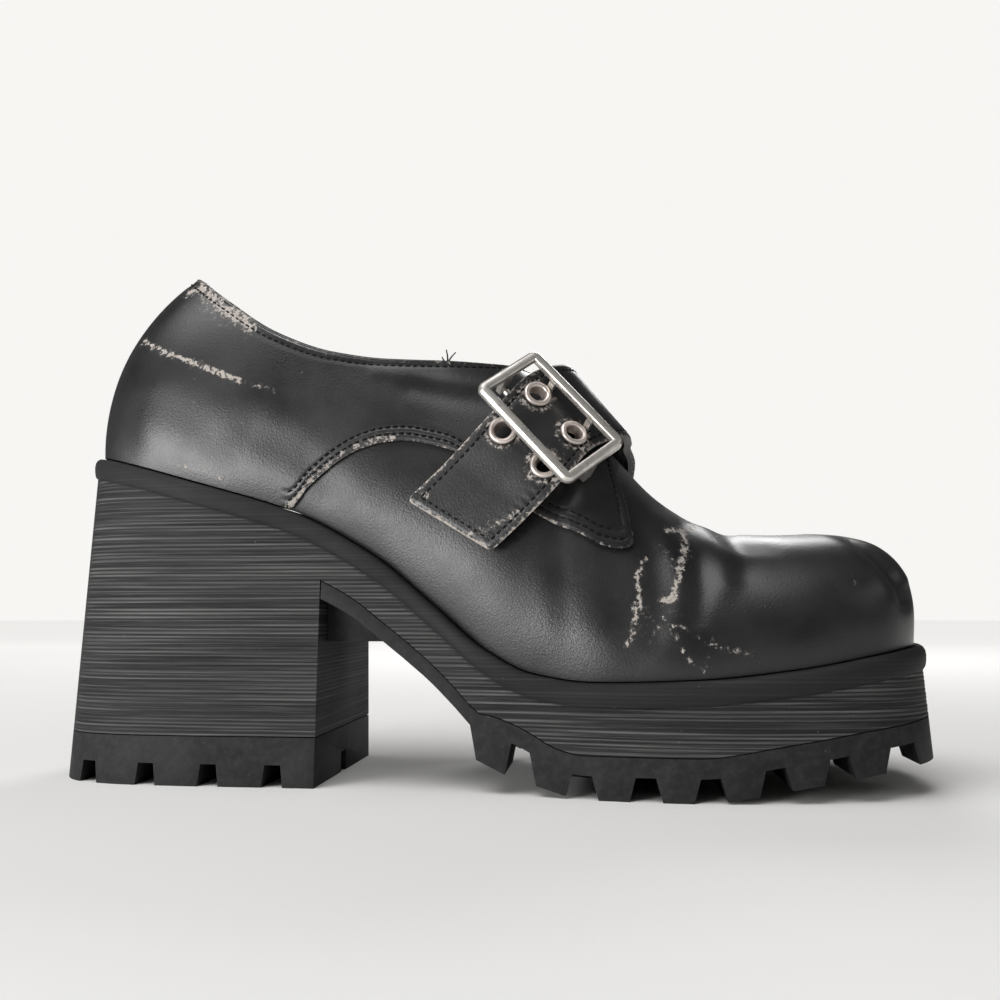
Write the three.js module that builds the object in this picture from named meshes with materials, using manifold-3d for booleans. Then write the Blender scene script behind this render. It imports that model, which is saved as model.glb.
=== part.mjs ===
// A right platform shoe with a strap and buckle over the instep, built as its maker puts it together:
// a moulded platform and heel, two lugged treads, an insole, a hollow upper, two quarters, a strap and its buckle.
// Millimetres. +X points to the toe, +Y to the inner side of the foot, +Z up from the floor.
import * as THREE from "three";
import { mergeVertices } from "three/addons/utils/BufferGeometryUtils.js";
import Module from "manifold-3d";

const wasm = await Module();
wasm.setup();

// Driving sizes
const soleLength = 252; // heel to toe, at the floor
const ballWidth = 96; // across the sole's widest part
const heelSeatHeight = 94.5; // floor to the top of the platform at the back
const platformHeight = 29.3; // floor to the top of the platform under the ball
const toeSpring = 10.4; // rise of the platform's top from ball to toe
const soleDraft = 0.045; // how far the side leans in for each millimetre of height
const beadHeight = 6.2; // rounded lip along the top of the sole's side
const beadStep = 0.9; // how far the lip stands out from the ribbed side
const seamGap = 0.3; // between pieces that touch
const surfaceGap = 0.4; // between curved pieces that touch

// Sizes of the treads
const breastX = -44.7; // front face of the heel
const heelTreadHeight = 13.6;
const treadBase = 5; // sheet that carries the forefoot lugs
const lugDepth = 6;
const lugPitch = 16.2;
const lugFoot = 7.8; // length of a lug at the floor
const lugRoot = 11.8; // length of a lug where it joins the sheet
const lugCount = 8;
const firstLugX = 4.2;
const heelGroovePitch = 18.3;
const heelGrooveFoot = 6.2;
const heelGrooveRoot = 4.4;
const heelGrooveCount = 4;
const middleGroove = 6; // width of the grooves that run along the tread
const middleLugWidth = 18;
const toeLugFrom = 0.92; // rear edge of the toe lug, as a share of half the length
const webWidth = 46; // web in the corner between arch and heel
const webReach = 18; // how far the web runs forward from the heel
const webDrop = 0.6; // how far its lower edge lies under the arch at its front end

// Sizes of the upper
const upperHeight = 58.8; // platform to the top of the heel
const upperWall = 2;
const featherInset = 3.4; // sole's edge to the foot of the upper
const collarHalfWidth = 25.4;
const quarterThickness = 1.2;
const insoleThickness = 3;

// Sizes of the strap and buckle
const strapWidth = 28;
const strapThickness = 2.8;
const loopThickness = 0.8; // leather of the loop that holds the buckle
const loopWidth = 10;
const buckleWidth = 37.6; // across the strap
const buckleLength = 23.2; // along the strap
const buckleBar = 2.9;
const buckleThickness = 2.6;
const buckleRise = 1.5; // frame over the strap
const buckleSkew = 0; // degrees that the buckle has turned on the strap
const barDiameter = 2; // bar under the strap
const barGap = 0.9; // between the quarter and what turns round the bar
const prongWidth = 1.8;
const prongSpacing = 15.2;
const prongReach = 7.85; // from the bar to the prong's tip
const eyeletDiameter = 8;
const eyeletHole = 4.8;
const eyeletBarrel = 6;
const eyeletRowSpacing = 11.6; // along the strap
const eyeletSpacing = 15.2; // across the strap
const eyeletRim = 0.9;
const eyeletShift = 2.85; // from the bar to the second pair

const halfLength = soleLength / 2;
const halfWidth = ballWidth / 2;
const rad = THREE.MathUtils.degToRad;

// A smooth line through the rows of a table, with no overshoot between them
function through(rows, at, key) {
  const x = rows.map((r) => r[at]);
  const y = rows.map((r) => r[key]);
  const n = x.length;
  const slope = [];
  for (let i = 0; i < n - 1; i++) slope.push((y[i + 1] - y[i]) / (x[i + 1] - x[i]));
  const tangent = slope.map((s, i) => {
    if (i === 0) return s;
    const before = slope[i - 1];
    return before * s <= 0 ? 0 : (2 * before * s) / (before + s);
  });
  tangent.push(slope[n - 2]);
  return (v) => {
    let i = 0;
    while (i < n - 2 && v > x[i + 1]) i++;
    const h = x[i + 1] - x[i];
    const t = THREE.MathUtils.clamp((v - x[i]) / h, 0, 1);
    const a = y[i] * (1 + 2 * t) * (1 - t) ** 2 + y[i + 1] * t * t * (3 - 2 * t);
    return a + h * (tangent[i] * t * (1 - t) ** 2 - tangent[i + 1] * t * t * (1 - t));
  };
}

// Outline of the sole at the floor, from the heel round the outer side to the toe and back.
// x is a share of half the length, y of half the width.
const outlineRows = [
  { x: -1, y: 0.04 },
  { x: -0.985, y: -0.29 },
  { x: -0.928, y: -0.53 },
  { x: -0.827, y: -0.645 },
  { x: -0.671, y: -0.69 },
  { x: -0.43, y: -0.705 },
  { x: -0.154, y: -0.735 },
  { x: 0.082, y: -0.84 },
  { x: 0.276, y: -0.955 },
  { x: 0.44, y: -1 },
  { x: 0.604, y: -0.985 },
  { x: 0.768, y: -0.92 },
  { x: 0.887, y: -0.78 },
  { x: 0.96, y: -0.55 },
  { x: 0.993, y: -0.27 },
  { x: 1, y: 0.08 },
  { x: 0.991, y: 0.42 },
  { x: 0.952, y: 0.69 },
  { x: 0.877, y: 0.88 },
  { x: 0.768, y: 0.97 },
  { x: 0.604, y: 1 },
  { x: 0.44, y: 0.985 },
  { x: 0.276, y: 0.9 },
  { x: 0.082, y: 0.765 },
  { x: -0.154, y: 0.71 },
  { x: -0.43, y: 0.745 },
  { x: -0.671, y: 0.765 },
  { x: -0.827, y: 0.725 },
  { x: -0.928, y: 0.61 },
  { x: -0.985, y: 0.37 },
];
const toeRow = 15;
const outlineCurve = new THREE.CatmullRomCurve3(
  outlineRows.map((r) => new THREE.Vector3(r.x * halfLength, r.y * halfWidth, 0)),
  true,
  "centripetal",
);
outlineCurve.arcLengthDivisions = 1200;
const toeShare = (() => {
  const lengths = outlineCurve.getLengths();
  const i = Math.round((toeRow / outlineRows.length) * (lengths.length - 1));
  return lengths[i] / lengths[lengths.length - 1];
})();

// A point of the outline: side -1 is the outer side and 1 the inner, around runs from 0 at the heel to 1 at the toe
function edgePoint(side, around, inset) {
  const u = side < 0 ? around * toeShare : 1 - around * (1 - toeShare);
  const p = outlineCurve.getPointAt(((u % 1) + 1) % 1);
  const d = outlineCurve.getTangentAt(((u % 1) + 1) % 1);
  return new THREE.Vector3(p.x - d.y * inset, p.y + d.x * inset, 0);
}

// Side view of the platform's top: rise is a share of heel height over platform height, spring of the toe spring
const seatRows = [
  { x: -1.024, rise: 1.02, spring: 0 },
  { x: -0.952, rise: 1, spring: 0 },
  { x: -0.64, rise: 0.845, spring: 0 },
  { x: -0.42, rise: 0.715, spring: 0 },
  { x: -0.238, rise: 0.526, spring: 0 },
  { x: -0.1, rise: 0.313, spring: 0 },
  { x: 0.014, rise: 0.132, spring: 0 },
  { x: 0.123, rise: 0.03, spring: 0 },
  { x: 0.246, rise: 0, spring: 0 },
  { x: 0.461, rise: 0, spring: 0.08 },
  { x: 0.665, rise: 0, spring: 0.34 },
  { x: 0.845, rise: 0, spring: 0.71 },
  { x: 1.024, rise: 0, spring: 1.03 },
];
const seatRise = through(seatRows, "x", "rise");
const seatSpring = through(seatRows, "x", "spring");
function seatHeight(x) {
  const share = x / halfLength;
  const rise = seatRise(share) * (heelSeatHeight - platformHeight);
  return platformHeight + rise + seatSpring(share) * toeSpring;
}

// Side view of the forefoot lugs' feet, clear of the floor at both ends. lift is a share of the toe spring
const treadRows = [
  { x: 0, lift: 0.86 },
  { x: 0.061, lift: 0.52 },
  { x: 0.154, lift: 0.2 },
  { x: 0.23, lift: 0 },
  { x: 0.461, lift: 0 },
  { x: 0.635, lift: 0.3 },
  { x: 0.819, lift: 0.66 },
  { x: 1.024, lift: 0.95 },
];
const treadLift = through(treadRows, "x", "lift");
function treadHeight(x) {
  return treadLift(x / halfLength) * toeSpring;
}

// Side view of the arch's underside, from the heel's front face to the first lug. drop is a share of the seat's height
const archRows = [
  { x: -0.355, drop: 0.284 },
  { x: -0.287, drop: 0.301 },
  { x: -0.213, drop: 0.345 },
  { x: -0.121, drop: 0.4 },
  { x: -0.055, drop: 0.475 },
  { x: 0.005, drop: 0.59 },
];
const archDrop = through(archRows, "x", "drop");
function archHeight(x) {
  return seatHeight(x) * (1 - archDrop(x / halfLength));
}

// Underside of the forefoot sheet: the arch, then the roots of the lugs
const archEndX = 0.0051 * halfLength;
function sheetHeight(x) {
  if (x <= archEndX) return archHeight(x);
  const along = (x - archEndX) / (firstLugX + lugPitch - archEndX);
  const root = treadHeight(x) + lugDepth;
  return along >= 1 ? root : THREE.MathUtils.lerp(Math.max(archHeight(archEndX), root), root, along);
}

// Meshes and solids
function meshGeometry(points, faces) {
  const g = new THREE.BufferGeometry();
  g.setAttribute("position", new THREE.Float32BufferAttribute(points.flatMap((p) => [p.x, p.y, p.z]), 3));
  g.setIndex(faces.flat());
  return g;
}

function solid(geometry) {
  const bare = geometry.clone();
  bare.deleteAttribute("normal");
  bare.deleteAttribute("uv");
  const merged = mergeVertices(bare, 1e-4);
  const index = merged.index.array;
  const kept = [];
  for (let i = 0; i < index.length; i += 3) {
    const [a, b, c] = [index[i], index[i + 1], index[i + 2]];
    if (a !== b && b !== c && c !== a) kept.push(a, b, c);
  }
  return new wasm.Manifold(
    new wasm.Mesh({
      numProp: 3,
      vertProperties: Float32Array.from(merged.attributes.position.array),
      triVerts: Uint32Array.from(kept),
    }),
  );
}

function geometryOf(shape) {
  const m = shape.getMesh();
  const g = new THREE.BufferGeometry();
  g.setAttribute("position", new THREE.BufferAttribute(Float32Array.from(m.vertProperties), 3));
  g.setIndex(Array.from(m.triVerts));
  const flat = g.toNonIndexed();
  flat.computeVertexNormals();
  return flat;
}

// A side-view outline of [x, z] corners, made solid from y = from to y = to
function sidePrism(corners, from, to) {
  const shape = new THREE.Shape(corners.map(([x, z]) => new THREE.Vector2(x, z)));
  const g = new THREE.ExtrudeGeometry(shape, { depth: to - from, bevelEnabled: false });
  g.rotateX(Math.PI / 2);
  g.translate(0, to, 0);
  return solid(g);
}

// Stations round the outline, with one on the point where the upper's sides meet
const closedFrom = 0.565;
const stationCount = 45;
const closedStation = 25;
function stationShare(i) {
  if (i <= closedStation) return (closedFrom * i) / closedStation;
  return 1 - ((1 - closedFrom) * (stationCount - i)) / (stationCount - closedStation);
}

// A closed stack of rings: each ring is a function of side and around that gives a point.
// The last and first rings are closed by strips from side to side.
function ringStack(rings) {
  const count = stationCount;
  const loop = [];
  for (let i = 0; i < count; i++) loop.push([-1, i]);
  for (let i = count; i > 0; i--) loop.push([1, i]);
  const around = loop.length;
  const points = [];
  for (const ring of rings)
    for (const [side, i] of loop) points.push(ring(side, stationShare(i)));
  const faces = [];
  for (let r = 0; r < rings.length - 1; r++)
    for (let k = 0; k < around; k++) {
      const a = r * around + k;
      const b = r * around + ((k + 1) % around);
      faces.push([a, b, b + around], [a, b + around, a + around]);
    }
  const cap = (base, flip) => {
    for (let i = 0; i < count; i++) {
      const outer = [base + i, base + i + 1];
      const inner = [base + ((around - i) % around), base + around - i - 1];
      const quad = [
        [outer[0], inner[0], inner[1]],
        [outer[0], inner[1], outer[1]],
      ];
      for (const f of quad) if (new Set(f).size === 3) faces.push(flip ? f : [...f].reverse());
    }
  };
  cap(0, true);
  cap((rings.length - 1) * around, false);
  return solid(meshGeometry(points, faces));
}

// The sole
const floorClearance = 8; // how far the rough block reaches under the floor
function soleRing(height, inset) {
  return (side, around) => {
    const rough = edgePoint(side, around, 0);
    const p = edgePoint(side, around, soleDraft * Math.max(0, height(rough.x)) + inset);
    p.z = height(p.x);
    return p;
  };
}
const soleBlock = ringStack(
  [
    soleRing(() => -floorClearance, 0),
    soleRing(() => 0, 0),
    soleRing((x) => seatHeight(x) * 0.5, beadStep * 0.5),
    soleRing((x) => seatHeight(x) - beadHeight, beadStep),
    soleRing((x) => seatHeight(x) - beadHeight + 0.01, 0),
    soleRing((x) => seatHeight(x) - 0.35 * beadHeight, -0.35),
    soleRing((x) => seatHeight(x) - 0.1 * beadHeight, 0.4),
    soleRing((x) => seatHeight(x), 1.4),
    soleRing((x) => seatHeight(x), 6),
    soleRing((x) => seatHeight(x), 15),
  ],
);
const far = halfLength + 12;
const wide = halfWidth + 12;

function sampled(height, from, to, count) {
  const line = [];
  for (let i = 0; i <= count; i++) {
    const x = THREE.MathUtils.lerp(from, to, i / count);
    line.push([x, height(x)]);
  }
  return line;
}
const sheetTop = (x) => sheetHeight(x) + treadBase;

function makePlatform() {
  const below = sidePrism(
    [
      [-far, -2 * floorClearance],
      [-far, heelTreadHeight + seamGap / 2],
      [breastX, heelTreadHeight + seamGap / 2],
      ...sampled((x) => sheetTop(x) + seamGap / 2, breastX, far, 36),
      [far, -2 * floorClearance],
    ],
    -wide,
    wide,
  );
  return soleBlock.subtract(below);
}

function makeHeelTread() {
  const slab = sidePrism(
    [
      [-far, 0],
      [breastX, 0],
      [breastX, heelTreadHeight - seamGap / 2],
      [-far, heelTreadHeight - seamGap / 2],
    ],
    -wide,
    wide,
  );
  let tread = soleBlock.intersect(slab);
  for (let i = 0; i < heelGrooveCount; i++) {
    const x = -56.5 - i * heelGroovePitch;
    const groove = sidePrism(
      [
        [x - heelGrooveFoot / 2, -1],
        [x + heelGrooveFoot / 2, -1],
        [x + heelGrooveRoot / 2, lugDepth],
        [x - heelGrooveRoot / 2, lugDepth],
      ],
      -wide,
      wide,
    );
    tread = tread.subtract(groove);
  }
  const lane = sidePrism(
    [
      [-far, -1],
      [breastX + 1, -1],
      [breastX + 1, lugDepth],
      [-far, lugDepth],
    ],
    -middleGroove / 2,
    middleGroove / 2,
  );
  return tread.subtract(lane);
}

function lugPrism(x, from, to) {
  const foot = (dx) => [x + dx, treadHeight(x + dx)];
  const root = (dx) => [x + dx, sheetHeight(x + dx) + 1];
  return sidePrism([foot(-lugFoot / 2), foot(lugFoot / 2), root(lugRoot / 2), root(-lugRoot / 2)], from, to);
}

function makeForefootTread() {
  const from = breastX + seamGap;
  const sheet = sidePrism(
    [...sampled(sheetHeight, from, far, 36), ...sampled((x) => sheetTop(x) - seamGap / 2, from, far, 36).reverse()],
    -wide,
    wide,
  );
  let tread = sheet;
  const laneEdge = middleLugWidth / 2 + middleGroove;
  for (let i = 0; i < lugCount - 1; i++) {
    const x = firstLugX + i * lugPitch;
    tread = tread.add(lugPrism(x, -wide, -laneEdge)).add(lugPrism(x, laneEdge, wide));
    if (i > 0) tread = tread.add(lugPrism(x + lugPitch / 2, -middleLugWidth / 2, middleLugWidth / 2));
  }
  const toeFoot = toeLugFrom * halfLength;
  const toeRoot = toeFoot - (lugRoot - lugFoot) / 2;
  const toeLug = [
    [toeFoot, treadHeight(toeFoot)],
    [far, treadHeight(halfLength)],
    [far, sheetHeight(far) + 1],
    [toeRoot, sheetHeight(toeRoot) + 1],
  ];
  tread = tread.add(sidePrism(toeLug, -wide, -laneEdge)).add(sidePrism(toeLug, laneEdge, wide));
  const webFront = breastX + webReach;
  const webLevel = sheetHeight(webFront) - webDrop;
  const web = sidePrism(
    [
      [from, webLevel],
      [webFront, webLevel],
      [webFront, sheetHeight(webFront) + 1],
      [from, sheetHeight(from) + 1],
    ],
    -webWidth / 2,
    webWidth / 2,
  );
  return tread.add(web).intersect(soleBlock);
}

// The upper. Each row is a section from the foot of the upper to its top edge: around places its foot on the outline,
// inset sets the foot in as a share of the feather inset, top and height place its top edge as shares of half the
// length and of the upper's height over the platform, half is a share of the collar's half width,
// arc is how far the section turns over, box how square it is and bulge how far it swells.
const sectionRows = [
  { around: 0, inset: 1.2, top: -0.735, height: 0.99, half: 0, arc: 60, box: 2, bulge: 0.6 },
  { around: 0.05, inset: 1.2, top: -0.721, height: 0.957, half: 0.34, arc: 60, box: 2, bulge: 0.7 },
  { around: 0.1, inset: 1.2, top: -0.676, height: 0.88, half: 0.6, arc: 60, box: 2, bulge: 1 },
  { around: 0.16, inset: 1.2, top: -0.606, height: 0.767, half: 0.8, arc: 58, box: 2, bulge: 1.4 },
  { around: 0.24, inset: 1.2, top: -0.491, height: 0.602, half: 0.945, arc: 56, box: 2, bulge: 1.8 },
  { around: 0.315, inset: 1.2, top: -0.349, height: 0.485, half: 1, arc: 56, box: 2, bulge: 2.2 },
  { around: 0.39, inset: 1.15, top: -0.214, height: 0.442, half: 0.98, arc: 58, box: 2, bulge: 2.4 },
  { around: 0.45, inset: 1.1, top: -0.102, height: 0.434, half: 0.89, arc: 62, box: 1.95, bulge: 2.4 },
  { around: 0.5, inset: 1, top: -0.008, height: 0.432, half: 0.7, arc: 70, box: 1.85, bulge: 2.2 },
  { around: 0.54, inset: 1, top: 0.064, height: 0.434, half: 0.41, arc: 80, box: 1.75, bulge: 2 },
  { around: 0.565, inset: 1, top: 0.107, height: 0.425, half: 0, arc: 90, box: 1.7, bulge: 1.8 },
  { around: 0.62, inset: 1, top: 0.254, height: 0.104, half: 0, arc: 90, box: 1.7, bulge: 1.6 },
  { around: 0.675, inset: 1, top: 0.397, height: -0.226, half: 0, arc: 90, box: 1.8, bulge: 1.4 },
  { around: 0.74, inset: 1, top: 0.543, height: -0.396, half: 0, arc: 90, box: 2.15, bulge: 1.6 },
  { around: 0.81, inset: 1, top: 0.635, height: -0.41, half: 0, arc: 90, box: 2.5, bulge: 1.4 },
  { around: 0.87, inset: 1, top: 0.696, height: -0.406, half: 0, arc: 90, box: 2.7, bulge: 1.2 },
  { around: 0.93, inset: 0.8, top: 0.727, height: -0.402, half: 0, arc: 90, box: 2.85, bulge: 1 },
  { around: 1, inset: 0.65, top: 0.747, height: -0.398, half: 0, arc: 90, box: 2.85, bulge: 0.8 },
];
const lastCentre = 0.04 * halfWidth; // the last's middle line, a little to the inner side
const section = {};
for (const key of ["inset", "top", "height", "half", "arc", "box", "bulge"]) section[key] = through(sectionRows, "around", key);

function upperPoint(side, around, up) {
  const inset = (x) => soleDraft * seatHeight(x) + featherInset * section.inset(around);
  const rough = edgePoint(side, around, 0);
  const foot = edgePoint(side, around, inset(rough.x));
  const outward = foot.clone().sub(edgePoint(side, around, inset(rough.x) + 1)).normalize();
  foot.z = seatHeight(foot.x) + surfaceGap;
  const half = around >= closedFrom ? 0 : section.half(around) * collarHalfWidth;
  const top = new THREE.Vector3(
    section.top(around) * halfLength,
    lastCentre + side * half,
    heelSeatHeight + section.height(around) * upperHeight,
  );
  const turn = rad(section.arc(around));
  const power = 2 / section.box(around);
  const angle = turn * up;
  const over = (1 - Math.max(0, Math.cos(angle)) ** power) / (1 - Math.max(0, Math.cos(turn)) ** power);
  const rise = Math.sin(angle) ** power / Math.sin(turn) ** power;
  const swell = section.bulge(around) * 6.75 * up * (1 - up) ** 2;
  return new THREE.Vector3(
    THREE.MathUtils.lerp(foot.x, top.x, over) + outward.x * swell,
    THREE.MathUtils.lerp(foot.y, top.y, over) + outward.y * swell,
    THREE.MathUtils.lerp(foot.z, top.z, rise),
  );
}

function upperNormal(side, around, up) {
  const step = 0.004;
  const back = Math.max(0, around - step);
  const ahead = Math.min(1, around + step);
  if (up >= 1 && around >= closedFrom) {
    const ridge = upperPoint(side, ahead, 1).sub(upperPoint(side, Math.max(closedFrom, back), 1));
    return new THREE.Vector3(-ridge.z, 0, ridge.x).normalize();
  }
  const rise = upperPoint(side, around, Math.min(1, up + step)).sub(upperPoint(side, around, Math.max(0, up - step)));
  if (around <= 0) return new THREE.Vector3(-rise.z, 0, rise.x).normalize();
  if (around >= 1) return new THREE.Vector3(rise.z, 0, -rise.x).normalize();
  const along = upperPoint(side, ahead, up).sub(upperPoint(side, back, up));
  return along.cross(rise).multiplyScalar(-side).normalize();
}

function offsetPoint(side, around, up, out) {
  return upperPoint(side, around, up).addScaledVector(upperNormal(side, around, up), out);
}

// A wall between two offsets of the upper's surface, over the given stations.
// low and high give the share of each section that it covers.
function wall(stations, closed, low, high, inner, outer, rows) {
  const points = [];
  const faces = [];
  const count = stations.length;
  for (const out of [outer, inner])
    for (const { side, around } of stations)
      for (let i = 0; i <= rows; i++) {
        points.push(offsetPoint(side, around, THREE.MathUtils.lerp(low(around), high(around), i / rows), out));
      }
  const at = (layer, j, i) => (layer * count + (j % count)) * (rows + 1) + i;
  const quad = (a, b, c, d) => faces.push([a, b, c], [a, c, d]);
  for (let j = 0; j < (closed ? count : count - 1); j++) {
    for (let i = 0; i < rows; i++) {
      quad(at(0, j, i), at(0, j + 1, i), at(0, j + 1, i + 1), at(0, j, i + 1));
      quad(at(1, j, i), at(1, j, i + 1), at(1, j + 1, i + 1), at(1, j + 1, i));
    }
    quad(at(0, j, 0), at(1, j, 0), at(1, j + 1, 0), at(0, j + 1, 0));
    const meets = [j, (j + 1) % count].every((k) => stations[k].around >= closedFrom && high(stations[k].around) >= 1);
    if (!meets) quad(at(0, j, rows), at(0, j + 1, rows), at(1, j + 1, rows), at(1, j, rows));
  }
  if (!closed) {
    for (let i = 0; i < rows; i++) {
      quad(at(0, 0, i), at(0, 0, i + 1), at(1, 0, i + 1), at(1, 0, i));
      quad(at(0, count - 1, i), at(1, count - 1, i), at(1, count - 1, i + 1), at(0, count - 1, i + 1));
    }
  }
  return solid(meshGeometry(points, faces));
}

function makeUpper() {
  const stations = [];
  for (let i = 0; i <= stationCount; i++) stations.push({ side: -1, around: stationShare(i) });
  for (let i = stationCount - 1; i > 0; i--) stations.push({ side: 1, around: stationShare(i) });
  return wall(stations, true, () => 0, () => 1, -upperWall, 0, 8);
}

// The quarters. low and high bound what they cover, as shares of each section
const quarterRows = [
  { around: 0, low: 0.008, high: 1 },
  { around: 0.3, low: 0.008, high: 1 },
  { around: 0.322, low: 0.165, high: 1 },
  { around: 0.345, low: 0.32, high: 1 },
  { around: 0.367, low: 0.43, high: 1 },
  { around: 0.392, low: 0.505, high: 1 },
  { around: 0.424, low: 0.555, high: 1 },
  { around: 0.454, low: 0.565, high: 1 },
  { around: 0.5, low: 0.49, high: 1 },
  { around: 0.542, low: 0.39, high: 1 },
  { around: 0.565, low: 0.34, high: 0.97 },
  { around: 0.594, low: 0.335, high: 0.965 },
  { around: 0.61, low: 0.35, high: 0.88 },
  { around: 0.62, low: 0.368, high: 0.725 },
  { around: 0.625, low: 0.38, high: 0.56 },
  { around: 0.628, low: 0.39, high: 0.42 },
];
const quarterLow = through(quarterRows, "around", "low");
const quarterHigh = through(quarterRows, "around", "high");
const quarterTip = quarterRows[quarterRows.length - 1].around;
const backSeam = 0.0006; // keeps the two quarters apart at the heel

function makeQuarter(side) {
  const shares = [backSeam];
  for (let i = 1; i < closedStation; i++) shares.push(stationShare(i));
  shares.push(...[13.5, 14.2, 15.4].map(stationShare));
  shares.sort((a, b) => a - b);
  for (let i = 0; i <= 9; i++) shares.push(quarterTip - (quarterTip - closedFrom) * (1 - i / 9) ** 1.6);
  const stations = shares.map((around) => ({ side, around }));
  if (side > 0) stations.reverse();
  return wall(stations, false, quarterLow, quarterHigh, surfaceGap, surfaceGap + quarterThickness, 6);
}

// The strap, from its free end on the outer side over the instep to the inner side. around and up place its middle line
// over the upper: up runs from 0 to 1 on the outer side and on to 2 on the inner side. lift is its height over the
// upper, as a share of its height at the buckle. turn and tilt are the slope and the skew of its width, in degrees.
const strapRows = [
  { around: 0.458, up: 0.3, lift: 0.34, turn: 31, tilt: -6 },
  { around: 0.496, up: 0.45, lift: 0.46, turn: 33, tilt: -8 },
  { around: 0.536, up: 0.55, lift: 0.98, turn: 42, tilt: -8 },
  { around: 0.569, up: 0.59, lift: 1.12, turn: 51, tilt: -5 },
  { around: 0.592, up: 0.72, lift: 0.98, turn: 52, tilt: -5 },
  { around: 0.606, up: 0.86, lift: 0.65, turn: 50, tilt: -6 },
  { around: 0.612, up: 1, lift: 0.52, turn: 48, tilt: -8 },
  { around: 0.612, up: 1.16, lift: 0.44, turn: 46, tilt: -3 },
  { around: 0.606, up: 1.32, lift: 0.38, turn: 44, tilt: 0 },
  { around: 0.598, up: 1.48, lift: 0.35, turn: 42, tilt: 3 },
];
const loopRadius = barDiameter / 2 + seamGap + loopThickness;
const barLift = surfaceGap + quarterThickness + barGap + loopRadius;
const strapLift = barLift + loopRadius + seamGap;

// A point over the upper at a place around the sole and up the section, on to the inner side past the ridge
function overUpper(around, up, out) {
  return up <= 1 ? offsetPoint(-1, around, up, out) : offsetPoint(1, around, 2 - up, out);
}
const strapLines = [-1, 0, 1].map((across) => {
  const points = strapRows.map((r) => {
    const width = new THREE.Vector3(Math.cos(rad(r.turn)), 0, -Math.sin(rad(r.turn)));
    width.multiplyScalar(Math.cos(rad(r.tilt))).setY(Math.sin(rad(r.tilt)));
    return overUpper(r.around, r.up, r.lift * strapLift).addScaledVector(width, (across * strapWidth) / 2);
  });
  return new THREE.CatmullRomCurve3(points, false, "centripetal");
});

function strapSurface(along, across) {
  const [rear, middle, front] = strapLines.map((line) => line.getPoint(along));
  const a = rear.multiplyScalar((across * (across - 1)) / 2);
  const b = middle.multiplyScalar(1 - across * across);
  const c = front.multiplyScalar((across * (across + 1)) / 2);
  return a.add(b).add(c);
}

function strapFrame(along, across) {
  const step = 0.01;
  const ahead = strapSurface(Math.min(1, along + step), across);
  const run = ahead.sub(strapSurface(Math.max(0, along - step), across)).normalize();
  const width = strapSurface(along, Math.min(1, across + step));
  width.sub(strapSurface(along, Math.max(-1, across - step))).normalize();
  const normal = width.clone().cross(run).normalize();
  return { width, run: normal.clone().cross(width), normal };
}

function strapPoint(along, across, out) {
  return strapSurface(along, across).addScaledVector(strapFrame(along, across).normal, out);
}

// A closed slab over a grid: place(u, v, layer) gives a point, with layer 1 on the side that faces out
function slab(place, columns, rows) {
  const points = [];
  const faces = [];
  for (const layer of [1, 0])
    for (let j = 0; j <= columns; j++)
      for (let i = 0; i <= rows; i++) points.push(place(j / columns, i / rows, layer));
  const at = (layer, j, i) => (layer * (columns + 1) + j) * (rows + 1) + i;
  const quad = (a, b, c, d) => faces.push([a, b, c], [a, c, d]);
  for (let j = 0; j < columns; j++) {
    for (let i = 0; i < rows; i++) {
      quad(at(0, j, i), at(0, j + 1, i), at(0, j + 1, i + 1), at(0, j, i + 1));
      quad(at(1, j, i), at(1, j, i + 1), at(1, j + 1, i + 1), at(1, j + 1, i));
    }
    quad(at(0, j, 0), at(1, j, 0), at(1, j + 1, 0), at(0, j + 1, 0));
    quad(at(0, j, rows), at(0, j + 1, rows), at(1, j + 1, rows), at(1, j, rows));
  }
  for (let i = 0; i < rows; i++) {
    quad(at(0, 0, i), at(0, 0, i + 1), at(1, 0, i + 1), at(1, 0, i));
    quad(at(0, columns, i), at(1, columns, i), at(1, columns, i + 1), at(0, columns, i + 1));
  }
  return solid(meshGeometry(points, faces));
}

// The buckle sits in its own frame: x across the strap to the front, y along it to the inner side, z out
const buckleAlong = 0.287; // share of the strap at which its bar lies
const strapLength = strapLines[1].getLength();
const seat = strapFrame(buckleAlong, 0);
const frameLift = strapThickness + buckleRise + buckleThickness / 2;
const skewed = seat.width.clone().applyAxisAngle(seat.normal, -rad(buckleSkew));
const buckleMatrix = new THREE.Matrix4()
  .makeBasis(skewed, seat.normal.clone().cross(skewed), seat.normal)
  .setPosition(strapPoint(buckleAlong, 0, frameLift));
const barLevel = -frameLift - (strapLift - barLift);

function placed(shape) {
  const g = geometryOf(shape);
  g.applyMatrix4(buckleMatrix);
  return solid(g);
}

function box(width, length, height, x, y, z) {
  const g = new THREE.BoxGeometry(width, length, height);
  g.translate(x, y, z);
  return solid(g);
}

function roundedPlate(width, length, radius, height, bevel) {
  const x = width / 2 - bevel;
  const y = length / 2 - bevel;
  const r = radius - bevel;
  const shape = new THREE.Shape();
  shape.moveTo(-x + r, -y);
  shape.lineTo(x - r, -y);
  shape.absarc(x - r, -y + r, r, -Math.PI / 2, 0, false);
  shape.absarc(x - r, y - r, r, 0, Math.PI / 2, false);
  shape.absarc(-x + r, y - r, r, Math.PI / 2, Math.PI, false);
  shape.absarc(-x + r, -y + r, r, Math.PI, 1.5 * Math.PI, false);
  const g = new THREE.ExtrudeGeometry(shape, {
    depth: height - 2 * bevel,
    bevelEnabled: bevel > 0,
    bevelSize: bevel,
    bevelThickness: bevel,
    bevelSegments: 1,
    curveSegments: 4,
  });
  g.translate(0, 0, -height / 2 + bevel);
  return solid(g);
}

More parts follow.
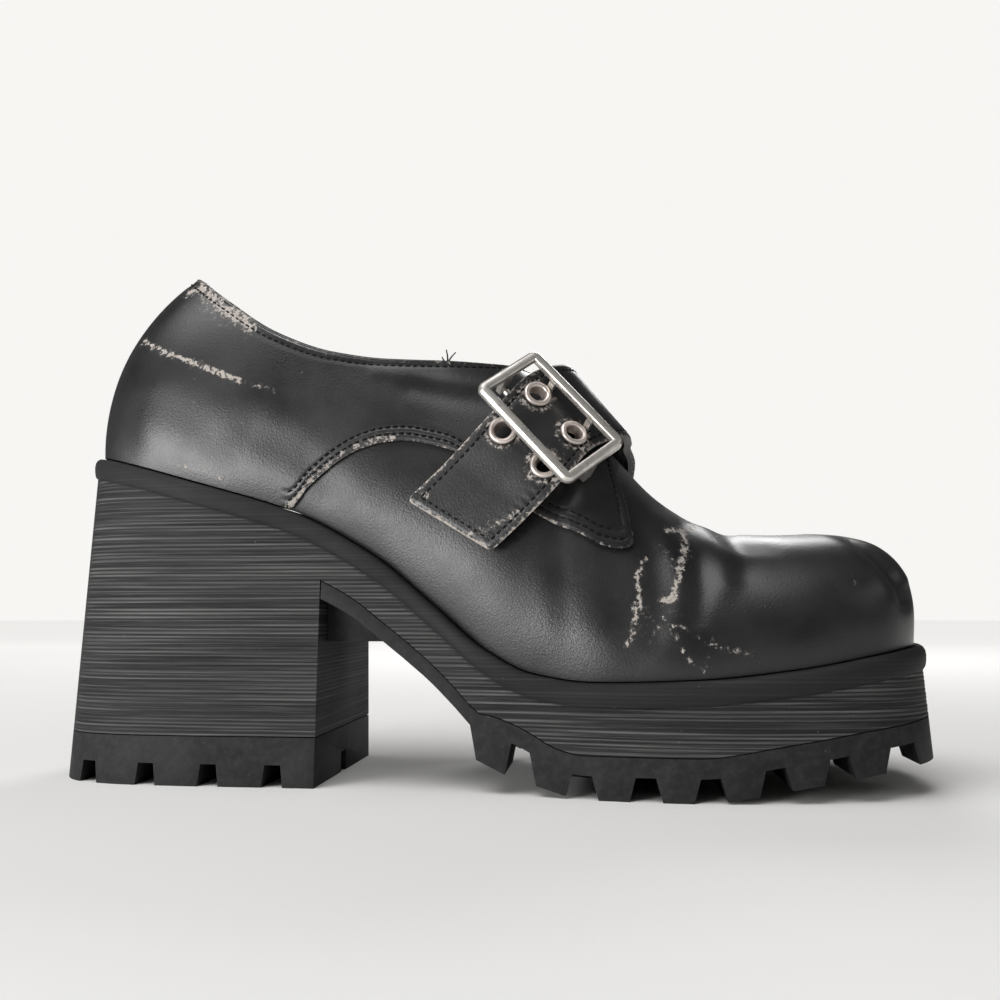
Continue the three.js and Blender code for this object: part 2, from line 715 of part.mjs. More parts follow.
function makeBuckleFrame() {
  const windowWidth = buckleWidth - 2 * buckleBar;
  const windowLength = buckleLength - 2 * buckleBar;
  const outer = roundedPlate(buckleWidth, buckleLength, 2.6, buckleThickness, 0.6);
  const opening = roundedPlate(windowWidth, windowLength, 1, buckleThickness + 2, 0);
  const rod = new THREE.CylinderGeometry(barDiameter / 2, barDiameter / 2, buckleWidth - buckleBar, 14);
  rod.rotateZ(Math.PI / 2);
  rod.translate(0, 0, barLevel);
  let frame = outer.subtract(opening).add(solid(rod));
  const top = -buckleThickness / 2 + 0.4;
  const foot = barLevel - barDiameter / 2;
  for (const end of [-1, 1]) {
    const x = (end * (buckleWidth - buckleBar)) / 2;
    frame = frame.add(box(buckleBar - 0.8, 3.4, top - foot, x, 0, (top + foot) / 2));
  }
  return placed(frame);
}

// A ring round the bar, between two places across the strap
function barRing(from, to) {
  const shape = new THREE.Shape();
  shape.absarc(0, 0, loopRadius, 0, 2 * Math.PI, false);
  const bore = new THREE.Path();
  bore.absarc(0, 0, barDiameter / 2 + seamGap, 0, 2 * Math.PI, true);
  shape.holes.push(bore);
  const g = new THREE.ExtrudeGeometry(shape, { depth: to - from, bevelEnabled: false, curveSegments: 6 });
  g.rotateY(Math.PI / 2);
  g.translate(from, 0, barLevel);
  return solid(g);
}

function makeProng(x) {
  const from = x - prongWidth / 2;
  const half = loopThickness / 2;
  const level = barLevel;
  const shape = new THREE.Shape();
  shape.moveTo(barDiameter / 2 + seamGap + 0.2, level - half);
  shape.lineTo(prongReach - 0.6, level - half);
  shape.lineTo(prongReach + 0.5, level + 0.7);
  shape.lineTo(prongReach + 0.8, 0);
  shape.lineTo(prongReach + 0.3, 0.3);
  shape.lineTo(prongReach - 0.3, 0.3);
  shape.lineTo(prongReach - 0.4, level + half + 0.4);
  shape.lineTo(prongReach - 1.2, level + half);
  shape.lineTo(barDiameter / 2 + seamGap + 0.2, level + half);
  const g = new THREE.ExtrudeGeometry(shape, { depth: prongWidth, bevelEnabled: false });
  g.rotateX(Math.PI / 2);
  g.rotateZ(Math.PI / 2);
  g.translate(from, 0, 0);
  return placed(barRing(from, from + prongWidth).add(solid(g)));
}

// The loop that holds the bar: sewn to the quarter under the strap and turned round the bar
const loopReach = 0.15; // share of the strap that it runs under
function makeLoop() {
  const low = surfaceGap + quarterThickness + barGap;
  const rows = strapRows.length - 1;
  const tail = slab(
    (u, v, layer) => {
      const along = THREE.MathUtils.lerp(buckleAlong - loopReach, buckleAlong, u);
      const i = Math.min(rows - 1, Math.floor(along * rows));
      const around = THREE.MathUtils.lerp(strapRows[i].around, strapRows[i + 1].around, along * rows - i);
      const up = THREE.MathUtils.lerp(strapRows[i].up, strapRows[i + 1].up, along * rows - i);
      const { width } = strapFrame(along, 0);
      return overUpper(around, up, low + layer * loopThickness).addScaledVector(width, (0.5 - v) * loopWidth);
    },
    10,
    2,
  );
  return placed(barRing(-loopWidth / 2, loopWidth / 2)).add(tail);
}

// Places of the eyelets: share of the strap and share of its half width
const eyeletPlaces = [];
for (const row of [0, 1])
  for (const end of [-1, 1]) {
    const along = buckleAlong + (eyeletShift - (1 - row) * eyeletRowSpacing) / strapLength;
    eyeletPlaces.push({ along, across: (end * eyeletSpacing) / strapWidth });
  }

function atStrap(geometry, { along, across }) {
  const { width, run, normal } = strapFrame(along, across);
  const matrix = new THREE.Matrix4().makeBasis(width, run, normal).setPosition(strapPoint(along, across, 0));
  geometry.applyMatrix4(matrix);
  return solid(geometry);
}

function drill(diameter) {
  const g = new THREE.CylinderGeometry(diameter / 2, diameter / 2, 4 * strapThickness, 16);
  g.rotateX(Math.PI / 2);
  return g;
}

function makeStrap() {
  let strap = slab((u, v, layer) => strapPoint(u, 1 - 2 * v, layer * strapThickness), 27, 2);
  for (const place of eyeletPlaces) strap = strap.subtract(atStrap(drill(eyeletBarrel + 2 * seamGap), place));
  for (const end of [-1, 1]) {
    const slot = box(prongWidth + 1, 2.6, 4 * strapThickness, (end * prongSpacing) / 2, prongReach, -frameLift + 1);
    strap = strap.subtract(placed(slot));
  }
  return strap;
}

function makeEyelet(place) {
  const profile = [
    [eyeletHole / 2, 0.2],
    [eyeletBarrel / 2, 0.2],
    [eyeletBarrel / 2, strapThickness + surfaceGap],
    [eyeletDiameter / 2, strapThickness + surfaceGap],
    [eyeletDiameter / 2 - 0.2, strapThickness + surfaceGap + eyeletRim * 0.6],
    [eyeletDiameter / 2 - 0.8, strapThickness + surfaceGap + eyeletRim],
    [eyeletHole / 2 + 0.4, strapThickness + surfaceGap + eyeletRim * 0.8],
    [eyeletHole / 2, strapThickness + surfaceGap + eyeletRim * 0.3],
    [eyeletHole / 2, 0.2],
  ];
  const g = new THREE.LatheGeometry(profile.map(([r, z]) => new THREE.Vector2(r, z)), 16);
  g.rotateX(Math.PI / 2);
  return atStrap(g, place);
}

// The insole, inside the foot of the upper
function makeInsole() {
  const ring = (lift, more) => (side, around) => {
    const inset = featherInset * section.inset(around) + upperWall + 1 + more;
    const rough = edgePoint(side, around, 0);
    const p = edgePoint(side, around, soleDraft * seatHeight(rough.x) + inset);
    p.z = seatHeight(p.x) + lift;
    return p;
  };
  const [low, high] = [surfaceGap, surfaceGap + insoleThickness];
  return ringStack([ring(low, 8), ring(low, 0), ring(high, 0), ring(high, 8)]);
}

const shoe = new THREE.Group();
shoe.name = "platform_shoe";
function add(name, shape, color, roughness, metalness) {
  const material = new THREE.MeshStandardMaterial({ name, color, roughness, metalness });
  const mesh = new THREE.Mesh(geometryOf(shape), material);
  mesh.name = name;
  shoe.add(mesh);
}
add("sole_unit", makePlatform(), 0x2b2a2b, 0.85, 0);
add("heel_tread", makeHeelTread(), 0x242324, 0.8, 0);
add("outsole_front", makeForefootTread(), 0x242324, 0.8, 0);
add("insole", makeInsole(), 0x3a3634, 0.8, 0);
add("upper", makeUpper(), 0x1f1e1f, 0.45, 0);
add("quarter_lateral", makeQuarter(-1), 0x1f1e1f, 0.45, 0);
add("quarter_medial", makeQuarter(1), 0x1f1e1f, 0.45, 0);
add("strap", makeStrap(), 0x1f1e1f, 0.5, 0);
add("buckle_frame", makeBuckleFrame(), 0xb9b4ae, 0.3, 1);
add("buckle_loop", makeLoop(), 0x1f1e1f, 0.5, 0);
add("prong_rear", makeProng(-prongSpacing / 2), 0xb9b4ae, 0.3, 1);
add("prong_front", makeProng(prongSpacing / 2), 0xb9b4ae, 0.3, 1);
eyeletPlaces.forEach((place, i) => add(`eyelet_${i + 1}`, makeEyelet(place), 0xc4b8ae, 0.35, 1));

// The origin is the middle of the sole, on the floor
const bounds = new THREE.Box3().setFromObject(shoe);
const middle = bounds.getCenter(new THREE.Vector3());
for (const mesh of shoe.children) mesh.geometry.translate(-middle.x, -middle.y, -bounds.min.z);

export default shoe;
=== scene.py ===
import math
from functools import lru_cache

import bmesh
import bpy
import numpy as np
from mathutils import Matrix, Vector, noise


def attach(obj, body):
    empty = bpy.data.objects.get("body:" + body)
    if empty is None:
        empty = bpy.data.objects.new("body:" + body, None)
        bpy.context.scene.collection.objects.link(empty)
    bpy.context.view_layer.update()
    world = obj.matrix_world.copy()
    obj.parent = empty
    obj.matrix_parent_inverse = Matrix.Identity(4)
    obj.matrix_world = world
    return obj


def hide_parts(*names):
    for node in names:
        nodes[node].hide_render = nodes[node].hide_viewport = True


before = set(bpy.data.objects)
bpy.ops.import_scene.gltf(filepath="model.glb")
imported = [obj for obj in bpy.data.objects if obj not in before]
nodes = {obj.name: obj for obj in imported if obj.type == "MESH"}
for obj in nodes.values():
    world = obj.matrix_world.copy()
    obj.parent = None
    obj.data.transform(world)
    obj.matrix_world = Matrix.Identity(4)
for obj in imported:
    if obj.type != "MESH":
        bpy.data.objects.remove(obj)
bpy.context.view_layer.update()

# Sizes in millimetres, in the shoe's own axes: +X to the toe, +Y to the inner side, +Z up
shoe = {
    "length": 252.0,
    "ballWidth": 96.0,
    "heelSeat": 94.5,
    "platform": 29.3,
    "toeSpring": 10.4,
    "draft": 0.045,
    "bead": 6.2,
    "beadStep": 0.9,
    "seam": 0.3,
    "gap": 0.4,
    "origin": (0.506, 0.026, 0.0),  # from these axes to the middle of the shoe
}
halfLength = shoe["length"] / 2
halfWidth = shoe["ballWidth"] / 2


def smoothLine(rows, column):
    # A line through a table's rows, first column across, with no overshoot
    x = [r[0] for r in rows]
    y = [r[column] for r in rows]
    slope = [(y[i + 1] - y[i]) / (x[i + 1] - x[i]) for i in range(len(x) - 1)]
    tangent = [slope[0]]
    for before, after in zip(slope, slope[1:]):
        tangent.append(0 if before * after <= 0 else 2 * before * after / (before + after))
    tangent.append(slope[-1])

    def at(v):
        i = 0
        while i < len(x) - 2 and v > x[i + 1]:
            i += 1
        h = x[i + 1] - x[i]
        t = min(1, max(0, (v - x[i]) / h))
        a = y[i] * (1 + 2 * t) * (1 - t) ** 2 + y[i + 1] * t * t * (3 - 2 * t)
        return a + h * (tangent[i] * t * (1 - t) ** 2 - tangent[i + 1] * t * t * (1 - t))

    return at


def curvePoint(p0, p1, p2, p3, t):
    # Centripetal curve between p1 and p2
    d0 = (p0 - p1).length ** 0.5
    d1 = (p1 - p2).length ** 0.5
    d2 = (p2 - p3).length ** 0.5
    m1 = ((p1 - p0) / d0 - (p2 - p0) / (d0 + d1) + (p2 - p1) / d1) * d1
    m2 = ((p2 - p1) / d1 - (p3 - p1) / (d1 + d2) + (p3 - p2) / d2) * d1
    c2 = (p2 - p1) * 3 - m1 * 2 - m2
    c3 = (p1 - p2) * 2 + m1 + m2
    return p1 + m1 * t + c2 * t * t + c3 * t * t * t


# Sole's outline at the floor, as shares of half the length and half the width
outlineRows = [
    (-1, 0.04), (-0.985, -0.29), (-0.928, -0.53), (-0.827, -0.645), (-0.671, -0.69), (-0.43, -0.705),
    (-0.154, -0.735), (0.082, -0.84), (0.276, -0.955), (0.44, -1), (0.604, -0.985), (0.768, -0.92),
    (0.887, -0.78), (0.96, -0.55), (0.993, -0.27), (1, 0.08), (0.991, 0.42), (0.952, 0.69),
    (0.877, 0.88), (0.768, 0.97), (0.604, 1), (0.44, 0.985), (0.276, 0.9), (0.082, 0.765),
    (-0.154, 0.71), (-0.43, 0.745), (-0.671, 0.765), (-0.827, 0.725), (-0.928, 0.61), (-0.985, 0.37),
]
outlinePoints = [Vector((x * halfLength, y * halfWidth, 0)) for x, y in outlineRows]
toeRow = 15
outlineSteps = 1200


def outlineAt(t):
    count = len(outlinePoints)
    p = (t % 1) * count
    i = int(p)
    return curvePoint(*[outlinePoints[(i + k) % count] for k in (-1, 0, 1, 2)], p - i)


outlineLengths = [0.0]
for step in range(outlineSteps):
    a, b = outlineAt(step / outlineSteps), outlineAt((step + 1) / outlineSteps)
    outlineLengths.append(outlineLengths[-1] + (b - a).length)
toeShare = outlineLengths[toeRow * outlineSteps // len(outlinePoints)] / outlineLengths[-1]


@lru_cache(maxsize=None)
def edgeFrame(side, around):
    # Side -1 is the outer side, around 0 the heel and 1 the toe
    u = around * toeShare if side < 0 else 1 - around * (1 - toeShare)
    target = (u % 1) * outlineLengths[-1]
    i = int(np.searchsorted(outlineLengths, target, side="right")) - 1
    i = min(outlineSteps - 1, max(0, i))
    t = (i + (target - outlineLengths[i]) / (outlineLengths[i + 1] - outlineLengths[i])) / outlineSteps
    direction = (outlineAt(t + 0.0001) - outlineAt(t - 0.0001)).normalized()
    return outlineAt(t), direction


def edgePoint(side, around, inset):
    p, d = edgeFrame(side, around)
    return Vector((p.x - d.y * inset, p.y + d.x * inset, 0))


# Side views: the platform's top, the lugs' feet and the arch
seatRows = [
    (-1.024, 1.02, 0), (-0.952, 1, 0), (-0.64, 0.845, 0), (-0.42, 0.715, 0), (-0.238, 0.526, 0),
    (-0.1, 0.313, 0), (0.014, 0.132, 0), (0.123, 0.03, 0), (0.246, 0, 0), (0.461, 0, 0.08),
    (0.665, 0, 0.34), (0.845, 0, 0.71), (1.024, 0, 1.03),
]
seatRise = smoothLine(seatRows, 1)
seatSpring = smoothLine(seatRows, 2)


def seatHeight(x):
    share = x / halfLength
    rise = seatRise(share) * (shoe["heelSeat"] - shoe["platform"])
    return shoe["platform"] + rise + seatSpring(share) * shoe["toeSpring"]


treadRows = [
    (0, 0.86), (0.061, 0.52), (0.154, 0.2), (0.23, 0),
    (0.461, 0), (0.635, 0.3), (0.819, 0.66), (1.024, 0.95),
]
archRows = [
    (-0.355, 0.284), (-0.287, 0.301), (-0.213, 0.345),
    (-0.121, 0.4), (-0.055, 0.475), (0.005, 0.59),
]
treadLift = smoothLine(treadRows, 1)
archDrop = smoothLine(archRows, 1)
tread = {
    "breastX": -44.7,
    "heelHeight": 13.6,
    "base": 5.0,
    "lugDepth": 6.0,
    "lugPitch": 16.2,
    "lugFoot": 7.8,
    "lugRoot": 11.8,
    "lugCount": 8,
    "firstLugX": 4.2,
    "groovePitch": 18.3,
    "firstGrooveX": -56.5,
    "grooveFoot": 6.2,
    "grooveRoot": 4.4,
    "grooveCount": 4,
    "lane": 6.0,
    "middleLug": 18.0,
    "toeLugFrom": 0.92,
    "webWidth": 46.0,
    "webReach": 18.0,
    "webDrop": 0.6,
    "edgeRound": 0.45,
}
archEndX = 0.0051 * halfLength


def treadHeight(x):
    return treadLift(x / halfLength) * shoe["toeSpring"]


def sheetHeight(x):
    # Underside of the arch, then the roots of the lugs
    if x <= archEndX:
        return seatHeight(x) * (1 - archDrop(x / halfLength))
    start = seatHeight(archEndX) * (1 - archDrop(archEndX / halfLength))
    along = (x - archEndX) / (tread["firstLugX"] + tread["lugPitch"] - archEndX)
    root = treadHeight(x) + tread["lugDepth"]
    return root if along >= 1 else max(start, root) * (1 - along) + root * along


# The upper's sections from its foot to its top edge
# around, inset, top, height, half width, arc, box, bulge
sectionRows = [
    (0, 1.2, -0.735, 0.99, 0, 60, 2, 0.6), (0.05, 1.2, -0.721, 0.957, 0.34, 60, 2, 0.7),
    (0.1, 1.2, -0.676, 0.88, 0.6, 60, 2, 1), (0.16, 1.2, -0.606, 0.767, 0.8, 58, 2, 1.4),
    (0.24, 1.2, -0.491, 0.602, 0.945, 56, 2, 1.8), (0.315, 1.2, -0.349, 0.485, 1, 56, 2, 2.2),
    (0.39, 1.15, -0.214, 0.442, 0.98, 58, 2, 2.4), (0.45, 1.1, -0.102, 0.434, 0.89, 62, 1.95, 2.4),
    (0.5, 1, -0.008, 0.432, 0.7, 70, 1.85, 2.2), (0.54, 1, 0.064, 0.434, 0.41, 80, 1.75, 2),
    (0.565, 1, 0.107, 0.425, 0, 90, 1.7, 1.8), (0.62, 1, 0.254, 0.104, 0, 90, 1.7, 1.6),
    (0.675, 1, 0.397, -0.226, 0, 90, 1.8, 1.4), (0.74, 1, 0.543, -0.396, 0, 90, 2.15, 1.6),
    (0.81, 1, 0.635, -0.41, 0, 90, 2.5, 1.4), (0.87, 1, 0.696, -0.406, 0, 90, 2.7, 1.2),
    (0.93, 0.8, 0.727, -0.402, 0, 90, 2.85, 1), (1, 0.65, 0.747, -0.398, 0, 90, 2.85, 0.8),
]
section = [None] + [smoothLine(sectionRows, k) for k in range(1, 8)]
last = {
    "height": 58.8,
    "wall": 2.0,
    "featherInset": 3.4,
    "collarHalfWidth": 25.4,
    "closedFrom": 0.565,
    "centreY": 0.04 * halfWidth,
}


@lru_cache(maxsize=None)
def sectionAt(side, around):
    inset, top, height, half, arc, box, bulge = [line(around) for line in section[1:]]
    p, d = edgeFrame(side, around)
    feather = last["featherInset"] * inset
    foot = edgePoint(side, around, shoe["draft"] * seatHeight(p.x) + feather)
    foot.z = seatHeight(foot.x) + shoe["gap"]
    reach = 0 if around >= last["closedFrom"] else half * last["collarHalfWidth"]
    topHeight = shoe["heelSeat"] + height * last["height"]
    crown = Vector((top * halfLength, last["centreY"] + side * reach, topHeight))
    turn = math.radians(arc)
    power = 2 / box
    flat, full = max(0, math.cos(turn)) ** power, math.sin(turn) ** power
    return foot, crown, Vector((d.y, -d.x, 0)), turn, power, bulge, flat, full


def upperPoint(side, around, up):
    foot, crown, outward, turn, power, bulge, flat, full = sectionAt(side, around)
    angle = turn * up
    over = (1 - max(0, math.cos(angle)) ** power) / (1 - flat)
    rise = math.sin(angle) ** power / full
    swell = bulge * 6.75 * up * (1 - up) ** 2
    return Vector((
        foot.x + (crown.x - foot.x) * over + outward.x * swell,
        foot.y + (crown.y - foot.y) * over + outward.y * swell,
        foot.z + (crown.z - foot.z) * rise,
    ))


def upperNormal(side, around, up):
    step = 0.004
    back, ahead = max(0, around - step), min(1, around + step)
    if up >= 1 and around >= last["closedFrom"]:
        ridge = upperPoint(side, ahead, 1) - upperPoint(side, max(last["closedFrom"], back), 1)
        return Vector((-ridge.z, 0, ridge.x)).normalized()
    rise = upperPoint(side, around, min(1, up + step)) - upperPoint(side, around, max(0, up - step))
    if around <= 0:
        return Vector((-rise.z, 0, rise.x)).normalized()
    if around >= 1:
        return Vector((rise.z, 0, -rise.x)).normalized()
    along = upperPoint(side, ahead, up) - upperPoint(side, back, up)
    return (along.cross(rise) * -side).normalized()


def offsetPoint(side, around, up, out):
    return upperPoint(side, around, up) + upperNormal(side, around, up) * out


# Strap: around, up, lift, turn, tilt of its middle line
strapRows = [
    (0.458, 0.3, 0.34, 31, -6), (0.496, 0.45, 0.46, 33, -8), (0.536, 0.55, 0.98, 42, -8),
    (0.569, 0.59, 1.12, 51, -5), (0.592, 0.72, 0.98, 52, -5), (0.606, 0.86, 0.65, 50, -6),
    (0.612, 1, 0.52, 48, -8), (0.612, 1.16, 0.44, 46, -3), (0.606, 1.32, 0.38, 44, 0),
    (0.598, 1.48, 0.35, 42, 3),
]
strap = {"width": 28.0, "thickness": 2.8, "loopThickness": 0.8, "columns": 170, "rows": 40}
buckle = {
    "width": 37.6,
    "length": 23.2,
    "bar": 2.9,
    "thickness": 2.6,
    "rise": 1.5,
    "along": 0.287,
    "barDiameter": 2.0,
    "barGap": 0.9,
    "cornerRadius": 2.1,
    "edge": 0.6,
}
quarter = {"thickness": 1.2, "backSeam": 0.0006, "tip": 0.628}
loopRadius = buckle["barDiameter"] / 2 + shoe["seam"] + strap["loopThickness"]
barLift = shoe["gap"] + quarter["thickness"] + buckle["barGap"] + loopRadius
strapLift = barLift + loopRadius + shoe["seam"]


def overUpper(around, up, out):
    return offsetPoint(-1, around, up, out) if up <= 1 else offsetPoint(1, around, 2 - up, out)


def strapLine(across):
    points = []
    for around, up, lift, turn, tilt in strapRows:
        turn, tilt = math.radians(turn), math.radians(tilt)
        level = math.cos(tilt)
        width = Vector((math.cos(turn) * level, math.sin(tilt), -math.sin(turn) * level))
        points.append(overUpper(around, up, lift * strapLift) + width * across * strap["width"] / 2)
    before = points[0] * 2 - points[1]
    after = points[-1] * 2 - points[-2]
    ends = [before] + points + [after]

    def at(t):
        p = (len(points) - 1) * min(1, max(0, t))
        i = min(len(points) - 2, int(p))
        return curvePoint(*ends[i:i + 4], p - i)

    return at


strapLines = [strapLine(across) for across in (-1, 0, 1)]
strapLength = sum((strapLines[1]((i + 1) / 200) - strapLines[1](i / 200)).length for i in range(200))


def strapSurface(along, across):
    rear, middle, front = [line(along) for line in strapLines]
    sides = rear * (across * (across - 1) / 2) + front * (across * (across + 1) / 2)
    return sides + middle * (1 - across * across)


def strapFrame(along, across):
    step = 0.01
    run = strapSurface(min(1, along + step), across) - strapSurface(max(0, along - step), across)
    width = strapSurface(along, min(1, across + step)) - strapSurface(along, max(-1, across - step))
    run, width = run.normalized(), width.normalized()
    normal = width.cross(run).normalized()
    return width, normal.cross(width), normal


def strapPoint(along, across, out):
    return strapSurface(along, across) + strapFrame(along, across)[2] * out


print("shapes: outline", round(outlineLengths[-1], 1), "mm, strap", round(strapLength, 1), "mm")


# Mesh helpers

def placedGrid(columns, rows, place):
    # A grid whose vertices are put where place(column share, row share) says
    bm = bmesh.new()
    bmesh.ops.create_grid(bm, x_segments=columns, y_segments=rows, size=0.5)
    for v in bm.verts:
        v.co = place(v.co.x + 0.5, v.co.y + 0.5)
    return bm


def closeUp(bm, distance=0.004):
    bmesh.ops.remove_doubles(bm, verts=bm.verts, dist=distance)
    bmesh.ops.dissolve_degenerate(bm, edges=bm.edges, dist=0.0001)
    bmesh.ops.recalc_face_normals(bm, faces=bm.faces)
    return bm


def prism(corners, low, high):
    # A side-view outline of (x, z) corners made solid from y low to y high
    bm = bmesh.new()
    face = bm.faces.new([bm.verts.new((x, low, z)) for x, z in corners])
    grown = bmesh.ops.extrude_face_region(bm, geom=[face])
    moved = [g for g in grown["geom"] if isinstance(g, bmesh.types.BMVert)]
    bmesh.ops.translate(bm, verts=moved, vec=(0, high - low, 0))
    bmesh.ops.recalc_face_normals(bm, faces=bm.faces)
    return bm


def joined(parts):
    mesh = bpy.data.meshes.new("joined")
    bm = bmesh.new()
    for part in parts:
        part.to_mesh(mesh)
        bm.from_mesh(mesh)
        part.free()
    bpy.data.meshes.remove(mesh)
    return bm


def asObject(bm, name):
    mesh = bpy.data.meshes.new(name)
    bm.to_mesh(mesh)
    bm.free()
    obj = bpy.data.objects.new(name, mesh)
    bpy.context.scene.collection.objects.link(obj)
    return obj


def carve(bm, tool, operation):
    # bm with the tool cut away, kept or added
    body, cutter = asObject(bm, "body"), asObject(tool, "cutter")
    modifier = body.modifiers.new("carve", "BOOLEAN")
    modifier.operation = operation
    modifier.solver = "MANIFOLD"
    modifier.object = cutter
    shown = body.evaluated_get(bpy.context.evaluated_depsgraph_get())
    mesh = bpy.data.meshes.new_from_object(shown)
    result = bmesh.new()
    result.from_mesh(mesh)
    for old in (body, cutter):
        data = old.data
        bpy.data.objects.remove(old)
        bpy.data.meshes.remove(data)
    bpy.data.meshes.remove(mesh)
    return result


def sharpen(bm, angle):
    # Smooth shading with hard edges where faces meet at more than the angle
    limit = math.radians(angle)
    bm.normal_update()
    for face in bm.faces:
        face.smooth = True
    for edge in bm.edges:
        edge.smooth = not (len(edge.link_faces) == 2 and edge.calc_face_angle(0) > limit)


def capEnds(bm):
    bmesh.ops.holes_fill(bm, edges=[e for e in bm.edges if e.is_boundary], sides=0)
    bmesh.ops.recalc_face_normals(bm, faces=bm.faces)
    return bm


def finishPiece(bm, name, material, replaced=(), angle=35):
    sharpen(bm, angle)
    bmesh.ops.translate(bm, verts=bm.verts, vec=shoe["origin"])
    bmesh.ops.scale(bm, verts=bm.verts, vec=(0.001, 0.001, 0.001))
    obj = asObject(bm, name)
    obj.data.materials.append(material)
    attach(obj, "root")
    if replaced:
        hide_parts(*replaced)
    print(name, len(obj.data.polygons), "faces")
    return obj


def nearStrokes(points, strokes, added=True):
    # For each point of the side view, how strongly the strokes reach it, added up or the strongest
    field = np.zeros(len(points))
    for line, width, depth in strokes:
        line = np.array(line, float)
        best = np.full(len(points), 1e9)
        for a, b in zip(line, line[1:]):
            run = b - a
            t = np.clip(((points - a) @ run) / (run @ run), 0, 1)
            best = np.minimum(best, np.hypot(*(points - a - t[:, None] * run).T))
        reach = np.exp(-((best / width) ** 2)) * depth
        field = field + reach if added else np.maximum(reach, field)
    return field


def pointsOf(obj):
    # A finished piece's vertices in the shoe's own axes
    flat = np.empty(len(obj.data.vertices) * 3)
    obj.data.vertices.foreach_get("co", flat)
    return flat.reshape(-1, 3) * 1000 - np.array(shoe["origin"])


def setValues(obj, name, values):
    layer = obj.data.attributes.new(name, "FLOAT", "POINT")
    layer.data.foreach_set("value", np.clip(values, 0, 2).astype(np.float32))


# Materials

def setInputs(tree, node, values):
    # Inputs by name, or by number as i0, i1 and so on; a value that is a socket is linked
    for key, value in values.items():
        socket = node.inputs[int(key[1:]) if key[1:].isdigit() else key]
        if isinstance(value, bpy.types.NodeSocket):
            tree.links.new(value, socket)
        else:
            socket.default_value = value


def addNode(tree, kind, **values):
    # A node with its own properties set first and then its inputs
    node = tree.nodes.new(kind)
    own = {key: value for key, value in values.items() if hasattr(node, key)}
    for key, value in own.items():
        setattr(node, key, value)
    setInputs(tree, node, {key: value for key, value in values.items() if key not in own})
    return node


def startMaterial(name):
    material = bpy.data.materials.new(name)
    material.use_nodes = True
    tree = material.node_tree
    tree.nodes.clear()
    skin = tree.nodes.new("ShaderNodeBsdfPrincipled")
    addNode(tree, "ShaderNodeOutputMaterial", Surface=skin.outputs["BSDF"])
    return material, tree, skin


def coordinates(tree, scale=(1, 1, 1)):
    where = addNode(tree, "ShaderNodeTexCoord").outputs["Object"]
    return addNode(tree, "ShaderNodeMapping", Vector=where, Scale=scale).outputs["Vector"]


def noiseOf(tree, where, scale, detail, roughness=0.5):
    node = addNode(tree, "ShaderNodeTexNoise", Vector=where, Scale=scale, Detail=detail, Roughness=roughness)
    return node.outputs["Fac"]


def cellsOf(tree, where, scale, feature="F1"):
    node = addNode(tree, "ShaderNodeTexVoronoi", feature=feature, Vector=where, Scale=scale)
    return node.outputs["Distance"]


def attributeOf(tree, name):
    return addNode(tree, "ShaderNodeAttribute", attribute_name=name).outputs["Fac"]


def ramp(tree, value, low, high, toLow=0.0, toHigh=1.0):
    node = addNode(tree, "ShaderNodeMapRange", clamp=True, i0=value, i1=low, i2=high, i3=toLow, i4=toHigh)
    return node.outputs[0]


def mathNode(tree, operation, a, b=0.0):
    return addNode(tree, "ShaderNodeMath", operation=operation, i0=a, i1=b).outputs[0]


def times(tree, a, b):
    return mathNode(tree, "MULTIPLY", a, b)


def plus(tree, a, b):
    return mathNode(tree, "ADD", a, b)


def minus(tree, a, b):
    return mathNode(tree, "SUBTRACT", a, b)


def mixColour(tree, factor, a, b):
    return addNode(tree, "ShaderNodeMix", data_type="RGBA", i0=factor, i6=a, i7=b).outputs[2]


def bumpOf(tree, height, strength, distance):
    node = addNode(tree, "ShaderNodeBump", Height=height, Strength=strength, Distance=distance)
    return node.outputs["Normal"]


def colourOf(r, g=None, b=None):
    return (r, r if g is None else g, r if b is None else b, 1)


# Pattern sizes are turns per metre
leather = {
    "colour": colourOf(0.0105, 0.0105, 0.0115),
    "dull": colourOf(0.021, 0.0205, 0.0205),
    "worn": colourOf(0.37, 0.335, 0.305),
    "rubbed": colourOf(0.2, 0.185, 0.17),
    "dust": colourOf(0.16, 0.15, 0.14),
    "gloss": (0.26, 0.42),
    "specular": 0.46,
    "clouds": 38.0,
    "tears": 520.0,
    "shreds": 1150.0,
    "folds": 150.0,
    "specks": 210.0,
    "speckPatches": 24.0,
    "grain": 1900.0,
    "grainDepth": 0.000055,
}


